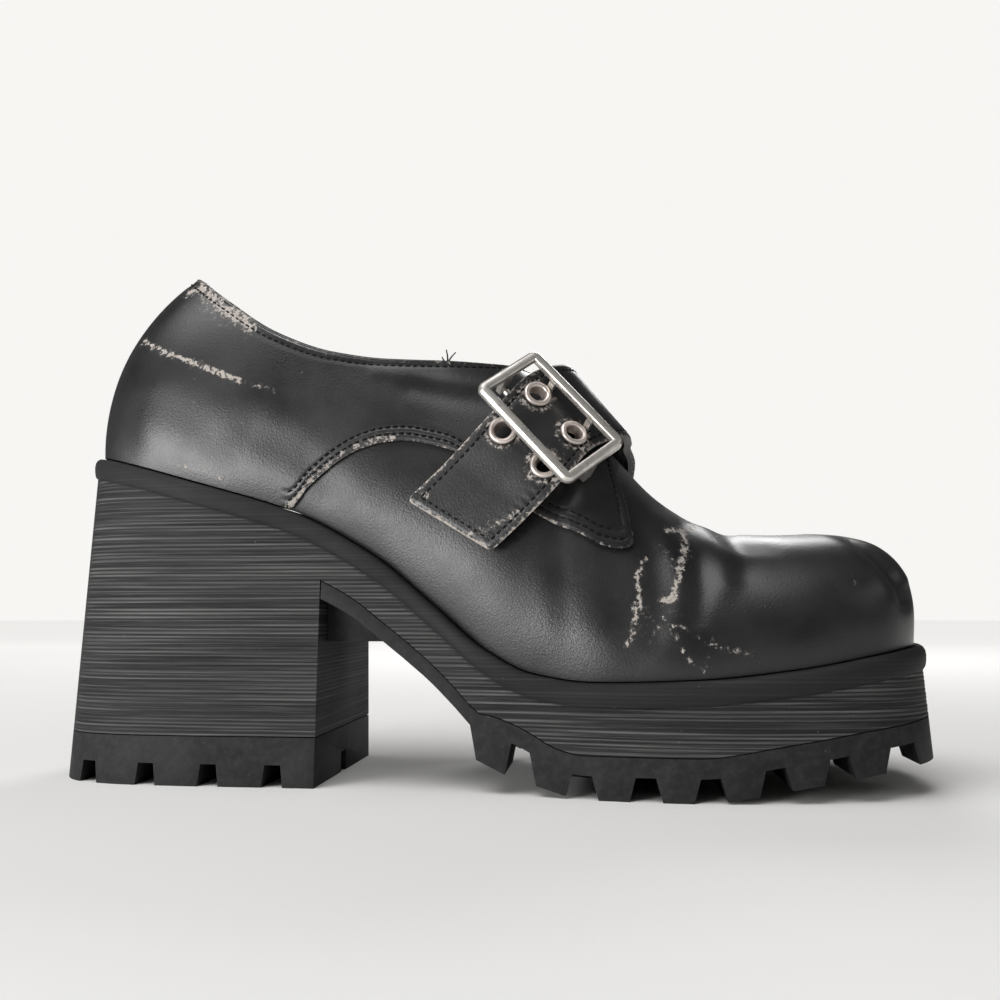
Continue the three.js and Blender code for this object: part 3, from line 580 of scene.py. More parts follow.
def makeLeather(name):
    material, tree, skin = startMaterial(name)
    where = coordinates(tree)
    broad = noiseOf(tree, where, leather["clouds"], 5, 0.6)
    tears = times(tree, noiseOf(tree, where, leather["tears"], 5, 0.65), 1.5)
    shreds = times(tree, noiseOf(tree, where, leather["shreds"], 3, 0.6), 1.3)
    ragged = plus(tree, attributeOf(tree, "wear"), minus(tree, plus(tree, tears, shreds), 1.4))
    bare = ramp(tree, ragged, 0.62, 0.74)
    halo = ramp(tree, ragged, 0.38, 0.7)
    specks = ramp(tree, cellsOf(tree, where, leather["specks"]), 0.075, 0.03)
    dust = times(tree, specks, ramp(tree, noiseOf(tree, where, leather["speckPatches"], 2), 0.56, 0.66))
    tone = mixColour(tree, ramp(tree, broad, 0.35, 0.75), leather["colour"], leather["dull"])
    tone = mixColour(tree, times(tree, dust, 0.5), tone, leather["dust"])
    tone = mixColour(tree, times(tree, halo, 0.35), tone, leather["rubbed"])
    shine = ramp(tree, broad, 0.3, 0.72, *leather["gloss"])
    cells = times(tree, cellsOf(tree, where, leather["grain"], "SMOOTH_F1"), 1.1)
    folds = times(tree, noiseOf(tree, where, leather["folds"], 4, 0.7), 0.4)
    height = minus(tree, plus(tree, cells, folds), times(tree, bare, 1.4))
    setInputs(tree, skin, {
        "Base Color": mixColour(tree, bare, tone, leather["worn"]),
        "Roughness": plus(tree, shine, times(tree, bare, 0.45)),
        "Specular IOR Level": leather["specular"],
        "Normal": bumpOf(tree, height, 0.5, leather["grainDepth"]),
    })
    return material


rubber = {
    "colour": colourOf(0.008, 0.008, 0.0085),
    "dustAndRibLight": colourOf(0.135, 0.134, 0.131),
    "trodden": colourOf(0.024, 0.0235, 0.023),
    "speck": colourOf(0.2, 0.19, 0.18),
    "gloss": (0.62, 0.82),
    "specular": 0.35,
    "streaks": (14, 14, 1500),
    "pits": (420, 420, 420),
    "clouds": 30.0,
    "specks": 260.0,
    "bumpDepth": 0.00012,
    "ribPitch": 1.08,
    "ribStart": 8.0,
}


def makeRubber(name, streaked):
    material, tree, skin = startMaterial(name)
    streaks = noiseOf(tree, coordinates(tree, rubber["streaks" if streaked else "pits"]), 1, 4, 0.7)
    where = coordinates(tree)
    broad = noiseOf(tree, where, rubber["clouds"], 5)
    specks = ramp(tree, cellsOf(tree, where, rubber["specks"]), 0.07, 0.03)
    speck = times(tree, specks, ramp(tree, broad, 0.52, 0.62))
    shade = times(tree, ramp(tree, streaks, 0.42, 0.68), ramp(tree, broad, 0.25, 0.8, 0.35, 1))
    if streaked:  # painted shade in each rib's groove and painted light on its crest
        height = addNode(tree, "ShaderNodeSeparateXYZ", Vector=where).outputs["Z"]
        turns = 2 * math.pi * 1000 / rubber["ribPitch"]
        phase = times(tree, minus(tree, height, rubber["ribStart"] / 1000), turns)
        shade = times(tree, shade, ramp(tree, mathNode(tree, "COSINE", phase), 1, -0.7, 0.12, 1.25))
    shade = times(tree, shade, ramp(tree, attributeOf(tree, "smoothness"), 1, 0, 0.12, 1))
    # on the ribbed side the pale tone is dust, darkened by painted shade in the rib grooves and lifted by
    # painted light on the crests
    tone = mixColour(tree, shade, rubber["colour"], rubber["dustAndRibLight" if streaked else "trodden"])
    setInputs(tree, skin, {
        "Base Color": mixColour(tree, times(tree, speck, 0.45), tone, rubber["speck"]),
        "Roughness": ramp(tree, broad, 0.3, 0.7, *rubber["gloss"]),
        "Specular IOR Level": rubber["specular"],
        "Normal": bumpOf(tree, streaks, 0.55 if streaked else 0.3, rubber["bumpDepth"]),
    })
    return material


metal = {
    "nickel": colourOf(0.66, 0.63, 0.59),
    "warm": colourOf(0.66, 0.585, 0.54),
    "shine": 0.8,  # satin, so some of the light scatters
    "clouds": 180.0,
    "scratches": (300, 2400, 900),
    "dulling": 0.62,
}


def makeMetal(name, colour, roughness):
    material, tree, skin = startMaterial(name)
    cloud = noiseOf(tree, coordinates(tree), metal["clouds"], 5)
    scratch = noiseOf(tree, coordinates(tree, metal["scratches"]), 1, 3)
    dull = tuple(c * metal["dulling"] for c in colour[:3]) + (1,)
    setInputs(tree, skin, {
        "Base Color": mixColour(tree, ramp(tree, cloud, 0.45, 0.75), colour, dull),
        "Roughness": ramp(tree, cloud, 0.3, 0.7, roughness - 0.08, roughness + 0.12),
        "Metallic": metal["shine"],
        "Normal": bumpOf(tree, scratch, 0.12, 0.00005),
    })
    return material


def makeCloth(name, colour, roughness, weave):
    material, tree, skin = startMaterial(name)
    texture = noiseOf(tree, coordinates(tree), weave, 4)
    dark = tuple(c * 0.6 for c in colour[:3]) + (1,)
    setInputs(tree, skin, {
        "Base Color": mixColour(tree, texture, dark, colour),
        "Roughness": roughness,
        "Specular IOR Level": 0.2,
        "Normal": bumpOf(tree, texture, 0.3, 0.0001),
    })
    return material


upperLeather = makeLeather("upperLeather")
strapLeather = makeLeather("strapLeather")
sideRubber = makeRubber("sideRubber", True)
treadRubber = makeRubber("treadRubber", False)
nickel = makeMetal("nickel", metal["nickel"], 0.3)
warmNickel = makeMetal("warmNickel", metal["warm"], 0.36)
threadCloth = makeCloth("thread", colourOf(0.006), 0.8, 1500)
insoleCloth = makeCloth("insoleSock", colourOf(0.085, 0.075, 0.065), 0.8, 700)
print("materials ready")


# Sole: ribbed side, lip along its top edge

soleSide = {
    "columns": 340,
    "rowsPerRib": 3,
    "ribDepth": 0.2,
    "waviness": 0.07,
    "plainRear": 9.0,
    "plainFade": 5.0,
    # share of the lip's height down from the top, inset
    "lip": [(1, 0.9), (0.985, 0.2), (0.9, -0.12), (0.7, -0.32), (0.45, -0.38), (0.25, -0.18),
            (0.1, 0.35), (0.02, 1.0), (0, 1.8), (0, 6), (0, 15)],
}
rowStep = rubber["ribPitch"] / soleSide["rowsPerRib"]
ribRows = int((shoe["heelSeat"] + 2 - rubber["ribStart"]) / rowStep)


def loopPlace(share):
    # Side and around for a share of the way round the sole
    return (-1, share * 2) if share <= 0.5 else (1, 2 - share * 2)


def wallPoint(side, around, z, step, inset=0.0):
    # A point of the tapering side, z over the floor and a share step of the way to the lip
    p = edgePoint(side, around, shoe["draft"] * max(0, z) + shoe["beadStep"] * step + inset)
    p.z = z
    return p


def lipSeat(side, around):
    roughX = edgeFrame(side, around)[0].x
    return seatHeight(edgePoint(side, around, shoe["draft"] * seatHeight(roughX)).x)


def middleLine(around, height):
    # The line under the foot on which the two sides of a block meet
    x = (2 * around - 1) * (halfLength - 24)
    return Vector((x, last["centreY"] * (0.3 + around), height(x)))


def rearGap(x, z):
    # How far a place of the side is in front of the heel's rear edge
    return x + halfLength - shoe["draft"] * z


def ribbedPoint(share, row):
    side, around = loopPlace(share)
    k = round(row * (ribRows + len(soleSide["lip"]) + 2))
    seat = lipSeat(side, around)
    wallTop = seat - shoe["bead"]
    if k == 0:
        return middleLine(around, lambda x: rubber["ribStart"])
    if k <= ribRows:
        z = min(wallTop, rubber["ribStart"] + (k - 1) * rowStep)
        p = wallPoint(side, around, z, z / wallTop)
        if z >= wallTop - 0.2:
            return p
        wander = noise.noise(Vector((p.x * 0.03, p.y * 0.03, z * 0.9)))
        groove = (k - 1) % soleSide["rowsPerRib"] == 0
        depth = soleSide["ribDepth"] * (0.65 + 0.9 * wander) if groove else soleSide["waviness"] * wander
        front = (rearGap(p.x, z) - soleSide["plainRear"] / 2) / soleSide["plainFade"]
        return wallPoint(side, around, z, z / wallTop, max(-0.05, depth * min(1, max(0, front))))
    if k > ribRows + len(soleSide["lip"]):
        return middleLine(around, seatHeight)
    down, inset = soleSide["lip"][k - ribRows - 1]
    p = edgePoint(side, around, shoe["draft"] * seat + inset)
    p.z = seatHeight(p.x) - down * shoe["bead"] if down < 1 else wallTop
    return p


far = halfLength + 12
wide = halfWidth + 12
halfSeam = shoe["seam"] / 2


def line(height, start, end, count=60):
    places = [start + (end - start) * i / count for i in range(count + 1)]
    return [(x, height(x)) for x in places]


def makeSole():
    bm = closeUp(placedGrid(soleSide["columns"], ribRows + len(soleSide["lip"]) + 2, ribbedPoint))
    heelTop = tread["heelHeight"] + halfSeam
    floor = [(-far, -20), (-far, heelTop), (tread["breastX"], heelTop)]
    floor += line(lambda x: sheetHeight(x) + tread["base"] + halfSeam, tread["breastX"], far) + [(far, -20)]
    bm = carve(bm, prism(floor, -wide, wide), "DIFFERENCE")
    obj = finishPiece(bm, "soleSide", sideRubber, ["sole_unit"], 38)
    points = pointsOf(obj)
    seats = np.array([seatHeight(x) for x in points[:, 0]])
    lip = points[:, 2] > seats - shoe["bead"] - 0.3
    gap = rearGap(points[:, 0] + shoe["origin"][0], points[:, 2])
    rear = np.clip((soleSide["plainRear"] - gap) / soleSide["plainFade"], 0, 1)
    setValues(obj, "smoothness", np.maximum(lip, rear))


makeSole()

# Treads
blockHeights = [-3, 0, 4, 8, 14, 20, 27, 36, 46, 58, 72]


def smoothBlock():
    # The sole's rough block, smooth sided, for the treads
    def place(share, row):
        side, around = loopPlace(share)
        k = round(row * (len(blockHeights) + 1))
        seat = lipSeat(side, around)
        if k == 0:
            return middleLine(around, lambda x: blockHeights[0])
        if k > len(blockHeights):
            return middleLine(around, seatHeight)
        z = min(seat, blockHeights[k - 1])
        return wallPoint(side, around, z, max(0, min(1, z / (seat - shoe["bead"]))))

    return closeUp(placedGrid(300, len(blockHeights) + 1, place))


def softenEdges(bm, angle=38):
    bmesh.ops.remove_doubles(bm, verts=bm.verts, dist=0.01)
    bmesh.ops.dissolve_limit(bm, angle_limit=math.radians(1.5), verts=bm.verts, edges=bm.edges)
    bm.normal_update()
    hard = [e for e in bm.edges if len(e.link_faces) == 2 and e.calc_face_angle(0) > math.radians(angle)]
    bmesh.ops.bevel(bm, geom=hard, offset=tread["edgeRound"], offset_type="OFFSET", segments=2,
                    profile=0.5, affect="EDGES", material=-1, clamp_overlap=True)
    return bm


def bandAcross(start, end, low, high, topStart=None, topEnd=None):
    # The side view of a straight bar, its top as long as its foot unless told otherwise
    topStart, topEnd = start if topStart is None else topStart, end if topEnd is None else topEnd
    return [(start, low), (end, low), (topEnd, high), (topStart, high)]


def makeHeelTread():
    slab = bandAcross(-far, tread["breastX"], 0, tread["heelHeight"] - halfSeam)
    heel = carve(smoothBlock(), prism(slab, -wide, wide), "INTERSECT")
    foot, root = tread["grooveFoot"] / 2, tread["grooveRoot"] / 2
    cuts = []
    for i in range(tread["grooveCount"]):
        x = tread["firstGrooveX"] - i * tread["groovePitch"]
        groove = bandAcross(x - foot, x + foot, -1, tread["lugDepth"], x - root, x + root)
        cuts.append(prism(groove, -wide, wide))
    heel = carve(heel, joined(cuts), "DIFFERENCE")
    lane = bandAcross(-far, tread["breastX"] + 1, -1, tread["lugDepth"])
    lane = prism(lane, -tread["lane"] / 2, tread["lane"] / 2)
    heel = softenEdges(carve(heel, lane, "DIFFERENCE"))
    finishPiece(heel, "heelTread", treadRubber, ["heel_tread"], 30)


def lug(x, low, high):
    half, root = tread["lugFoot"] / 2, tread["lugRoot"] / 2
    feet = [(x - half, treadHeight(x - half)), (x + half, treadHeight(x + half))]
    return prism(feet + [(x + r, sheetHeight(x + r) + 1) for r in (root, -root)], low, high)


def makeFrontTread():
    start = tread["breastX"] + shoe["seam"]
    sheet = line(sheetHeight, start, far, 80)
    sheet += line(lambda x: sheetHeight(x) + tread["base"] - halfSeam, start, far, 80)[::-1]
    middle = tread["middleLug"] / 2
    lane = middle + tread["lane"]
    lugs = []
    for i in range(tread["lugCount"] - 1):
        x = tread["firstLugX"] + i * tread["lugPitch"]
        lugs += [lug(x, -wide, -lane), lug(x, lane, wide)]
        if i > 0:
            lugs.append(lug(x + tread["lugPitch"] / 2, -middle, middle))
    foot = tread["toeLugFrom"] * halfLength
    root = foot - (tread["lugRoot"] - tread["lugFoot"]) / 2
    toeLug = [(foot, treadHeight(foot)), (far, treadHeight(halfLength)),
              (far, sheetHeight(far) + 1), (root, sheetHeight(root) + 1)]
    lugs += [prism(toeLug, -wide, -lane), prism(toeLug, lane, wide)]
    webFront = tread["breastX"] + tread["webReach"]
    level = sheetHeight(webFront) - tread["webDrop"]
    web = [(start, level), (webFront, level)] + [(x, sheetHeight(x) + 1) for x in (webFront, start)]
    lugs.append(prism(web, -tread["webWidth"] / 2, tread["webWidth"] / 2))
    front = carve(prism(sheet, -wide, wide), joined(lugs), "UNION")
    front = softenEdges(carve(front, smoothBlock(), "INTERSECT"))
    finishPiece(front, "frontTread", treadRubber, ["outsole_front"], 30)


makeHeelTread()
makeFrontTread()


# Upper and quarters

# Creases as troughs and ridges in the side view (x, z): line, width, depth
creases = [
    ([(44.6, 72), (47.5, 62), (48.8, 52), (47.5, 41)], 3.2, -0.5),
    ([(50.5, 74), (53.5, 63), (54.5, 52), (53, 44)], 2.6, 0.35),
    ([(57, 72.5), (60, 64), (60.5, 54), (58.5, 46)], 2.8, -0.55),
    ([(64, 71.5), (67, 63), (66.5, 55)], 3.0, 0.4),
    ([(71, 71), (73, 64), (71.5, 57)], 2.8, -0.45),
    ([(53, 77), (62, 71), (71, 66.4), (80, 65)], 2.6, -0.35),
    ([(36, 52), (41, 46), (43, 38)], 4.5, -0.3),
    ([(-20, 112), (-8, 109), (6, 107)], 3.0, -0.35),
    ([(-30, 117), (-14, 114.5), (4, 113)], 2.4, 0.25),
    ([(-66, 99), (-52, 93), (-44, 84)], 6.0, -0.4),
    ([(-96, 108), (-84, 103), (-74, 95)], 7.0, -0.35),
]
toeCorner = [
    ([(101.5, 71), (106, 66.5), (110.5, 61), (114, 55.5), (115.5, 51)], 2.0, -1.7),
    ([(105.5, 72), (110.5, 67), (114.5, 61), (116.5, 57)], 2.3, 1.0),
    ([(97.5, 71), (102, 65), (106.5, 59), (110, 52)], 3.2, 0.45),
]
# Worn places in the side view, outer side only: line, width, strength
scuffs = [
    ([(-92, 146), (-88.5, 147.5), (-83, 142.5), (-78, 138), (-73, 134.5), (-69, 132)], 2.6, 0.8),
    ([(-86, 141), (-80, 137), (-75, 134)], 4.5, 0.42),
    ([(-104, 129.5), (-101, 128), (-97.4, 126), (-90.2, 122.9), (-81.9, 119.7),
      (-75.5, 117), (-70.8, 115)], 1.35, 0.86),
    ([(-70.8, 115), (-60.9, 112)], 1.2, 0.5),
    ([(-88.3, 90.2), (-82, 88.9), (-72.8, 85)], 1.6, 0.52),
    ([(45.3, 62), (43.3, 56.8), (43.8, 52.3), (42.3, 44.2), (40.7, 39.3)], 1.05, 0.84),
    ([(52, 70.3), (55.8, 70.6), (60.5, 71.9)], 1.2, 0.82),
    ([(57, 70.5), (56.8, 65.5), (54.5, 57.5), (52.2, 51), (49.7, 51)], 1.35, 0.86),
    ([(50.5, 66), (52.5, 60)], 1.2, 0.55),
    ([(49.6, 46.8), (52.1, 43.2), (54, 39.4), (57.2, 33.8)], 0.75, 0.72),
    ([(50.6, 45.6), (47.6, 43.2), (46.2, 39.6)], 0.6, 0.66),
    ([(51.4, 44.6), (55.2, 43.8), (59, 41.4)], 0.6, 0.62),
    ([(60.5, 39.9), (66.7, 38.1), (72, 36.9)], 1.0, 0.6),
    ([(43, 49), (48, 45), (52, 48)], 3.5, 0.3),
    ([(60, 33), (61.5, 37)], 0.9, 0.55),
    ([(99, 59), (101, 55)], 0.8, 0.4),
]
upperSkin = {"columns": 420, "rows": 84, "wall": 1.8, "unevenness": 0.22}


def creaseAmount(bm):
    points = np.array([tuple(v.co) for v in bm.verts])
    view, y = points[:, [0, 2]], points[:, 1]
    amount = nearStrokes(view, creases) * np.where(y < last["centreY"], 1, 0.6)
    amount += nearStrokes(view, toeCorner) * np.clip((last["centreY"] - 7 - y) / 18, 0, 1)
    uneven = np.array([noise.noise(v.co * 0.045) for v in bm.verts])
    return amount + uneven * upperSkin["unevenness"]


def wearOf(obj, spots=(), least=0.0):
    # Scuffs of the outer side, and spots as what nearLine takes after the points
    points = pointsOf(obj)
    wear = nearStrokes(points[:, [0, 2]], scuffs, False)
    wear = np.maximum(np.where(points[:, 1] < last["centreY"], wear, 0), least)
    for spot in spots:
        wear = np.maximum(wear, nearLine(points, *spot))
    setValues(obj, "wear", wear)


def nearLine(points, linePoints, width, strength, away=0.0):
    # Strength near a dense line of points in space, or near the tube that lies away from it
    dense = np.array([tuple(p) for p in linePoints])
    best = np.full(len(points), 1e9)
    for chunk in np.array_split(np.arange(len(points)), max(1, len(points) // 4000)):
        gaps = np.linalg.norm(points[chunk, None] - dense[None], axis=2)
        best[chunk] = gaps.min(axis=1)
    return np.exp(-(((best - away) / width) ** 2)) * strength


def makeUpper():
    bm = closeUp(placedGrid(upperSkin["columns"], upperSkin["rows"],
                            lambda share, up: upperPoint(*loopPlace(share), up)), 0.02)
    bm.normal_update()
    moves = [v.normal * a for v, a in zip(bm.verts, creaseAmount(bm))]
    for v, move in zip(bm.verts, moves):
        v.co += move
    bmesh.ops.solidify(bm, geom=bm.faces, thickness=upperSkin["wall"])
    wearOf(finishPiece(bm, "upperSkin", upperLeather, ["upper"], 50))


makeUpper()

# around, low, high: what a quarter covers of each section
quarterRows = [
    (0, 0.008, 1), (0.3, 0.008, 1), (0.322, 0.165, 1), (0.345, 0.32, 1), (0.367, 0.43, 1),
    (0.392, 0.505, 1), (0.424, 0.555, 1), (0.454, 0.565, 1), (0.5, 0.49, 1), (0.542, 0.39, 1),
    (0.565, 0.34, 0.97), (0.594, 0.335, 0.965), (0.61, 0.35, 0.88), (0.62, 0.368, 0.725),
    (0.625, 0.381, 0.56), (0.6272, 0.392, 0.455), (0.628, 0.398, 0.43),
]
quarterLow = smoothLine(quarterRows, 1)
quarterHigh = smoothLine(quarterRows, 2)
quarterSkin = {
    "columns": 230,
    "rows": 66,
    "edgeShare": 0.45,  # this share of the rows covers the first edgeRows of the height
    "edgeRows": 0.16,
    "bunching": 1.25,
    "under": 0.1,
}
quarterOut = shoe["gap"] + quarter["thickness"]
# Grooves that the rows of stitches lie in: edge, from, to, inset, count, width, depth
seamGrooves = [
    ("low", 0.3, 0.622, 2.3, 300, 0.55, -0.22),
    ("low", 0.3, 0.618, 4.6, 300, 0.55, -0.18),
    ("top", 0, 0.56, 3.2, 300, 0.6, -0.16),
    ("front", 0.606, quarter["tip"], 2.3, 80, 0.55, -0.2),
]


def edgeLine(side, edge, start, end, inset=0.0, count=300, lift=quarterOut):
    # Points over the upper along one of a quarter's edges, inset from it, and their outward directions
    points, normals = [], []
    for i in range(count + 1):
        around = start + (end - start) * i / count
        if edge == "front":
            around = start + (end - start) * (1 - (1 - i / count) ** 2)
            up = quarterHigh(around)
            around -= inset / 250
        else:
            share = inset / ((upperPoint(side, around, 1) - upperPoint(side, around, 0)).length * 1.12)
            up = 1 - share if edge == "top" else quarterLow(around) + share
        points.append(offsetPoint(side, around, up, lift))
        normals.append(upperNormal(side, max(around, 0.002), up))
    return points, normals


def makeQuarter(side, name, replaced):
    look = quarterSkin
    turns = 2 * look["rows"] + 2
    normals, lifted = [], []

    def place(share, row):
        around = 1 - (1 - share) ** look["bunching"]  # columns bunched towards the tip
        around = quarter["backSeam"] + (quarter["tip"] - quarter["backSeam"]) * around
        low, high = quarterLow(around), quarterHigh(around)
        k = round(row * turns) % turns
        outside = k <= look["rows"]
        r = (k if outside else turns - 1 - k) / look["rows"]
        if r < look["edgeShare"]:  # rows bunched along the lower edge
            t = look["edgeRows"] * r / look["edgeShare"]
        else:
            t = look["edgeRows"] + (1 - look["edgeRows"]) * (r - look["edgeShare"]) / (1 - look["edgeShare"])
        up = low + (high - low) * t
        normals.append(upperNormal(side, around, up))
        lifted.append(outside)
        return offsetPoint(side, around, up, quarterOut if outside else shoe["gap"] + look["under"])

    bm = placedGrid(look["columns"], turns, place)
    seam = edgeLine(side, "low", 0.3, quarter["tip"])[0]
    front = edgeLine(side, "front", 0.606, quarter["tip"], count=80)[0]
    points = np.array([tuple(v.co) for v in bm.verts])
    amount = nearLine(points, seam, 0.9, -0.35) + nearLine(points, front, 0.9, -0.3)
    for *edge, width, depth in seamGrooves:
        amount += nearLine(points, edgeLine(side, *edge)[0], width, depth)
    amount = np.where(lifted, amount, 0) + creaseAmount(bm)
    for v, normal, push in zip(bm.verts, normals, amount):
        v.co += normal * push
    capEnds(closeUp(bm))
    strong = 1 if side < 0 else 0.75
    wearOf(finishPiece(bm, name, upperLeather, replaced, 50), [
        (seam, 0.75, 0.74 * strong),
        (front, 0.7, 0.5),
        (edgeLine(side, "top", 0, 0.565)[0], 1.2, 0.6 * strong),
        (edgeLine(side, "low", 0.3, 0.4, 1.2, 80)[0], 2.0, 0.56 * strong),
        (edgeLine(side, "low", 0.302, 0.335, 1.0, 30)[0], 1.5, 0.84 * strong),
    ])


makeQuarter(-1, "outerQuarter", ["quarter_lateral"])
makeQuarter(1, "innerQuarter", ["quarter_medial"])

binding = {"columns": 420, "rows": 12, "halfWidth": 2.05, "height": 1.15, "drop": 0.35}


def makeBinding():
    # The turned edge along the topline, from the instep round the heel and back
    def place(share, turn):
        side = -1 if share < 0.5 else 1
        around = last["closedFrom"] * abs(1 - 2 * share)
        centre = offsetPoint(side, around, 1, (quarterOut - last["wall"]) / 2)
        rise = (upperPoint(side, around, 1) - upperPoint(side, around, 0.985)).normalized()
        angle = 2 * math.pi * turn
        fade = min(1, (last["closedFrom"] - around) / 0.02 + 0.15)
        out = math.cos(angle) * binding["halfWidth"] * fade
        up = math.sin(angle) * binding["height"] * fade - binding["drop"]
        return centre + upperNormal(side, around, 1) * out + rise * up

    bm = capEnds(closeUp(placedGrid(binding["columns"], binding["rows"], place), 0.01))
    back = edgeLine(-1, "top", 0, 0.2, count=80, lift=0.5)[0]
    wearOf(finishPiece(bm, "toplineEdge", upperLeather, (), 60), [(back, 3.0, 0.72)], 0.36)


makeBinding()

# Strap with its eyelets and buckle

eyelet = {
    "diameter": 8.0,
    "hole": 4.8,
    "barrel": 6.0,
    "rowSpacing": 11.6,
    "spacing": 15.2,
    "rim": 0.9,
    "rimFoot": 0.22,
    "room": 0.2,  # round the barrel
    "shift": 2.85,
    "steps": 40,
}
prong = {"width": 1.8, "spacing": 15.2, "reach": 7.85, "room": 0.8, "slotLength": 2.4}
strapForm = {
    "corner": 1.6,  # rounding of the ends' corners
    "roundOver": 1.1,
    "puff": 0.45,
    "wall": strap["thickness"] - 0.5,
    "stitchInset": 2.4,
    "stitchSink": 0.14,
    "stitchThick": 1.35,
    "groove": 0.16,
    "grooveWidth": 0.55,
    "wave": 0.18,
    "notch": 0.17,  # small dents along the front edge near the free end
    "notchInset": 3.6,
    "notchWidth": 1.5,
    "notchPitch": 2.15,
}
cutDepth = 9
eyeletPlaces = []
for row in (0, 1):
    along = buckle["along"] + (eyelet["shift"] - (1 - row) * eyelet["rowSpacing"]) / strapLength
    eyeletPlaces += [(along, end * eyelet["spacing"] / strap["width"]) for end in (-1, 1)]


def frameMatrix(width, run, normal, origin):
    m = Matrix((width, run, normal)).transposed().to_4x4()
    m.translation = origin
    return m


frameLift = strap["thickness"] + buckle["rise"] + buckle["thickness"] / 2
buckleMatrix = frameMatrix(*strapFrame(buckle["along"], 0), strapPoint(buckle["along"], 0, frameLift))
barLevel = -frameLift - (strapLift - barLift)


def cylinder(radius, depth, segments):
    bm = bmesh.new()
    bmesh.ops.create_cone(bm, cap_ends=True, segments=segments, radius1=radius, radius2=radius, depth=depth)
    return bm


def block(centre, size):
    bm = bmesh.new()
    bmesh.ops.create_cube(bm, size=1)
    bm.transform(Matrix.Translation(centre) @ Matrix.Diagonal((*size, 1)))
    return bm


def strapFace(share, row):
    # The strap's outer face: rounded corners and edges, the groove of its stitches, waves
    form = strapForm
    across = 2 * row - 1
    inset = (1 - abs(across)) * strap["width"] / 2
    pull = max(0, form["corner"] - inset)
    nip = (form["corner"] - math.sqrt(max(0, form["corner"] ** 2 - pull * pull))) / strapLength
    along = share + nip * ((1 - share) ** 12 - share ** 12)
    rounded = min(1, inset / form["roundOver"], share * strapLength / form["roundOver"])
    rise = -form["puff"] * (1 - rounded) ** 2
    rise -= form["groove"] * math.exp(-(((inset - form["stitchInset"]) / form["grooveWidth"]) ** 2))
    wave = form["wave"] * noise.noise(Vector((share * 9, across * 1.5, 3.1)))
    fromFront = (1 - across) * strap["width"] / 2
    notch = form["notch"] * math.exp(-(((fromFront - form["notchInset"]) / form["notchWidth"]) ** 2))
    notch *= max(0, 1 - share * 3.4)
    wave += notch * math.sin(2 * math.pi * share * strapLength / form["notchPitch"] + across * 5)
    return strapPoint(along, across, strap["thickness"] + rise + wave * min(1, share * 6))


def makeStrap():
    wall, top = strapForm["wall"], strap["thickness"]
    bm = closeUp(placedGrid(strap["columns"], strap["rows"], strapFace), 0.005)
    bm.normal_update()
    if sum(f.normal.y for f in bm.faces if f.calc_center_median().y < -20) > 0:
        bmesh.ops.reverse_faces(bm, faces=bm.faces)
    bmesh.ops.solidify(bm, geom=bm.faces, thickness=wall)
    holes = []
    for place in eyeletPlaces:
        drill = cylinder(eyelet["barrel"] / 2 + eyelet["room"], cutDepth, 28)
        drill.transform(frameMatrix(*strapFrame(*place), strapPoint(*place, 1)))
        holes.append(drill)
    for end in (-1, 1):
        slot = block((end * prong["spacing"] / 2, prong["reach"], 1 - frameLift),
                     (prong["width"] + prong["room"], prong["slotLength"], cutDepth))
        slot.transform(buckleMatrix)
        holes.append(slot)
    bm = carve(bm, joined(holes), "DIFFERENCE")
    obj = finishPiece(bm, "strapLeather", strapLeather, ["strap"], 50)
    spots = [
        ([strapPoint(i / 200, across, wall) for across in (-1, 1) for i in range(200)], 1.25, 0.8),
        ([strapPoint(0, -1 + i / 30, wall) for i in range(61)], 1.35, 0.92),
        ([strapPoint(0.015 + i / 150, 0.5 + 0.4 * i / 16, top) for i in range(16)], 2.0, 0.6),
        ([strapPoint(0.03, -0.85 + i / 40, top) for i in range(6)], 1.4, 0.66),
        ([strapPoint(buckle["along"] + (i - 10) / strapLength, -0.82, top) for i in range(20)], 1.7, 0.62),
    ]
    wearOf(obj, spots + [([strapPoint(*place, top)], 1.4, 0.66, 4.7) for place in eyeletPlaces])


makeStrap()


def makeEyelets():
    top = strap["thickness"] + shoe["gap"]
    foot = top + eyelet["rimFoot"]
    inner, outer, barrel = eyelet["hole"] / 2, eyelet["diameter"] / 2, eyelet["barrel"] / 2
    profile = [(inner, 0.2), (barrel, 0.2), (barrel, top), (outer - 0.05, top), (outer, foot)]
    for i in range(1, 12):  # rolled rim
        angle = math.pi * i / 12
        r = (outer + inner) / 2 + (outer - inner) / 2 * math.cos(angle)
        profile.append((r, foot + (eyelet["rim"] - eyelet["rimFoot"]) * math.sin(angle)))
    profile.append((inner, top + 0.1))
    for i, place in enumerate(eyeletPlaces):
        bm = bmesh.new()
        ring = [bm.verts.new((r, 0, z)) for r, z in profile]
        edges = [bm.edges.new((a, b)) for a, b in zip(ring, ring[1:] + ring[:1])]
        bmesh.ops.spin(bm, geom=ring + edges, cent=(0, 0, 0), axis=(0, 0, 1), angle=2 * math.pi,
                       steps=eyelet["steps"], use_merge=True)
        closeUp(bm, 0.001)
        bm.transform(frameMatrix(*strapFrame(*place), strapPoint(*place, 0)))
        finishPiece(bm, "eyelet.%d" % (i + 1), warmNickel, ["eyelet_%d" % (i + 1)], 60)


makeEyelets()


def roundedTrack(w, l, radius):
    # Places round a rectangle with rounded corners, each with its outward direction
    track = []
    for cx, cy, start in ((w, l, 0), (-w, l, 90), (-w, -l, 180), (w, -l, 270)):
        centre = Vector((cx - math.copysign(radius, cx), cy - math.copysign(radius, cy), 0))
        for i in range(9):
            angle = math.radians(start + i * 90 / 8)
            outward = Vector((math.cos(angle), math.sin(angle), 0))
            track.append((centre + outward * radius, outward))
    return track


post = {"length": 3.4, "room": 0.8, "sink": 0.4, "edge": 0.25}


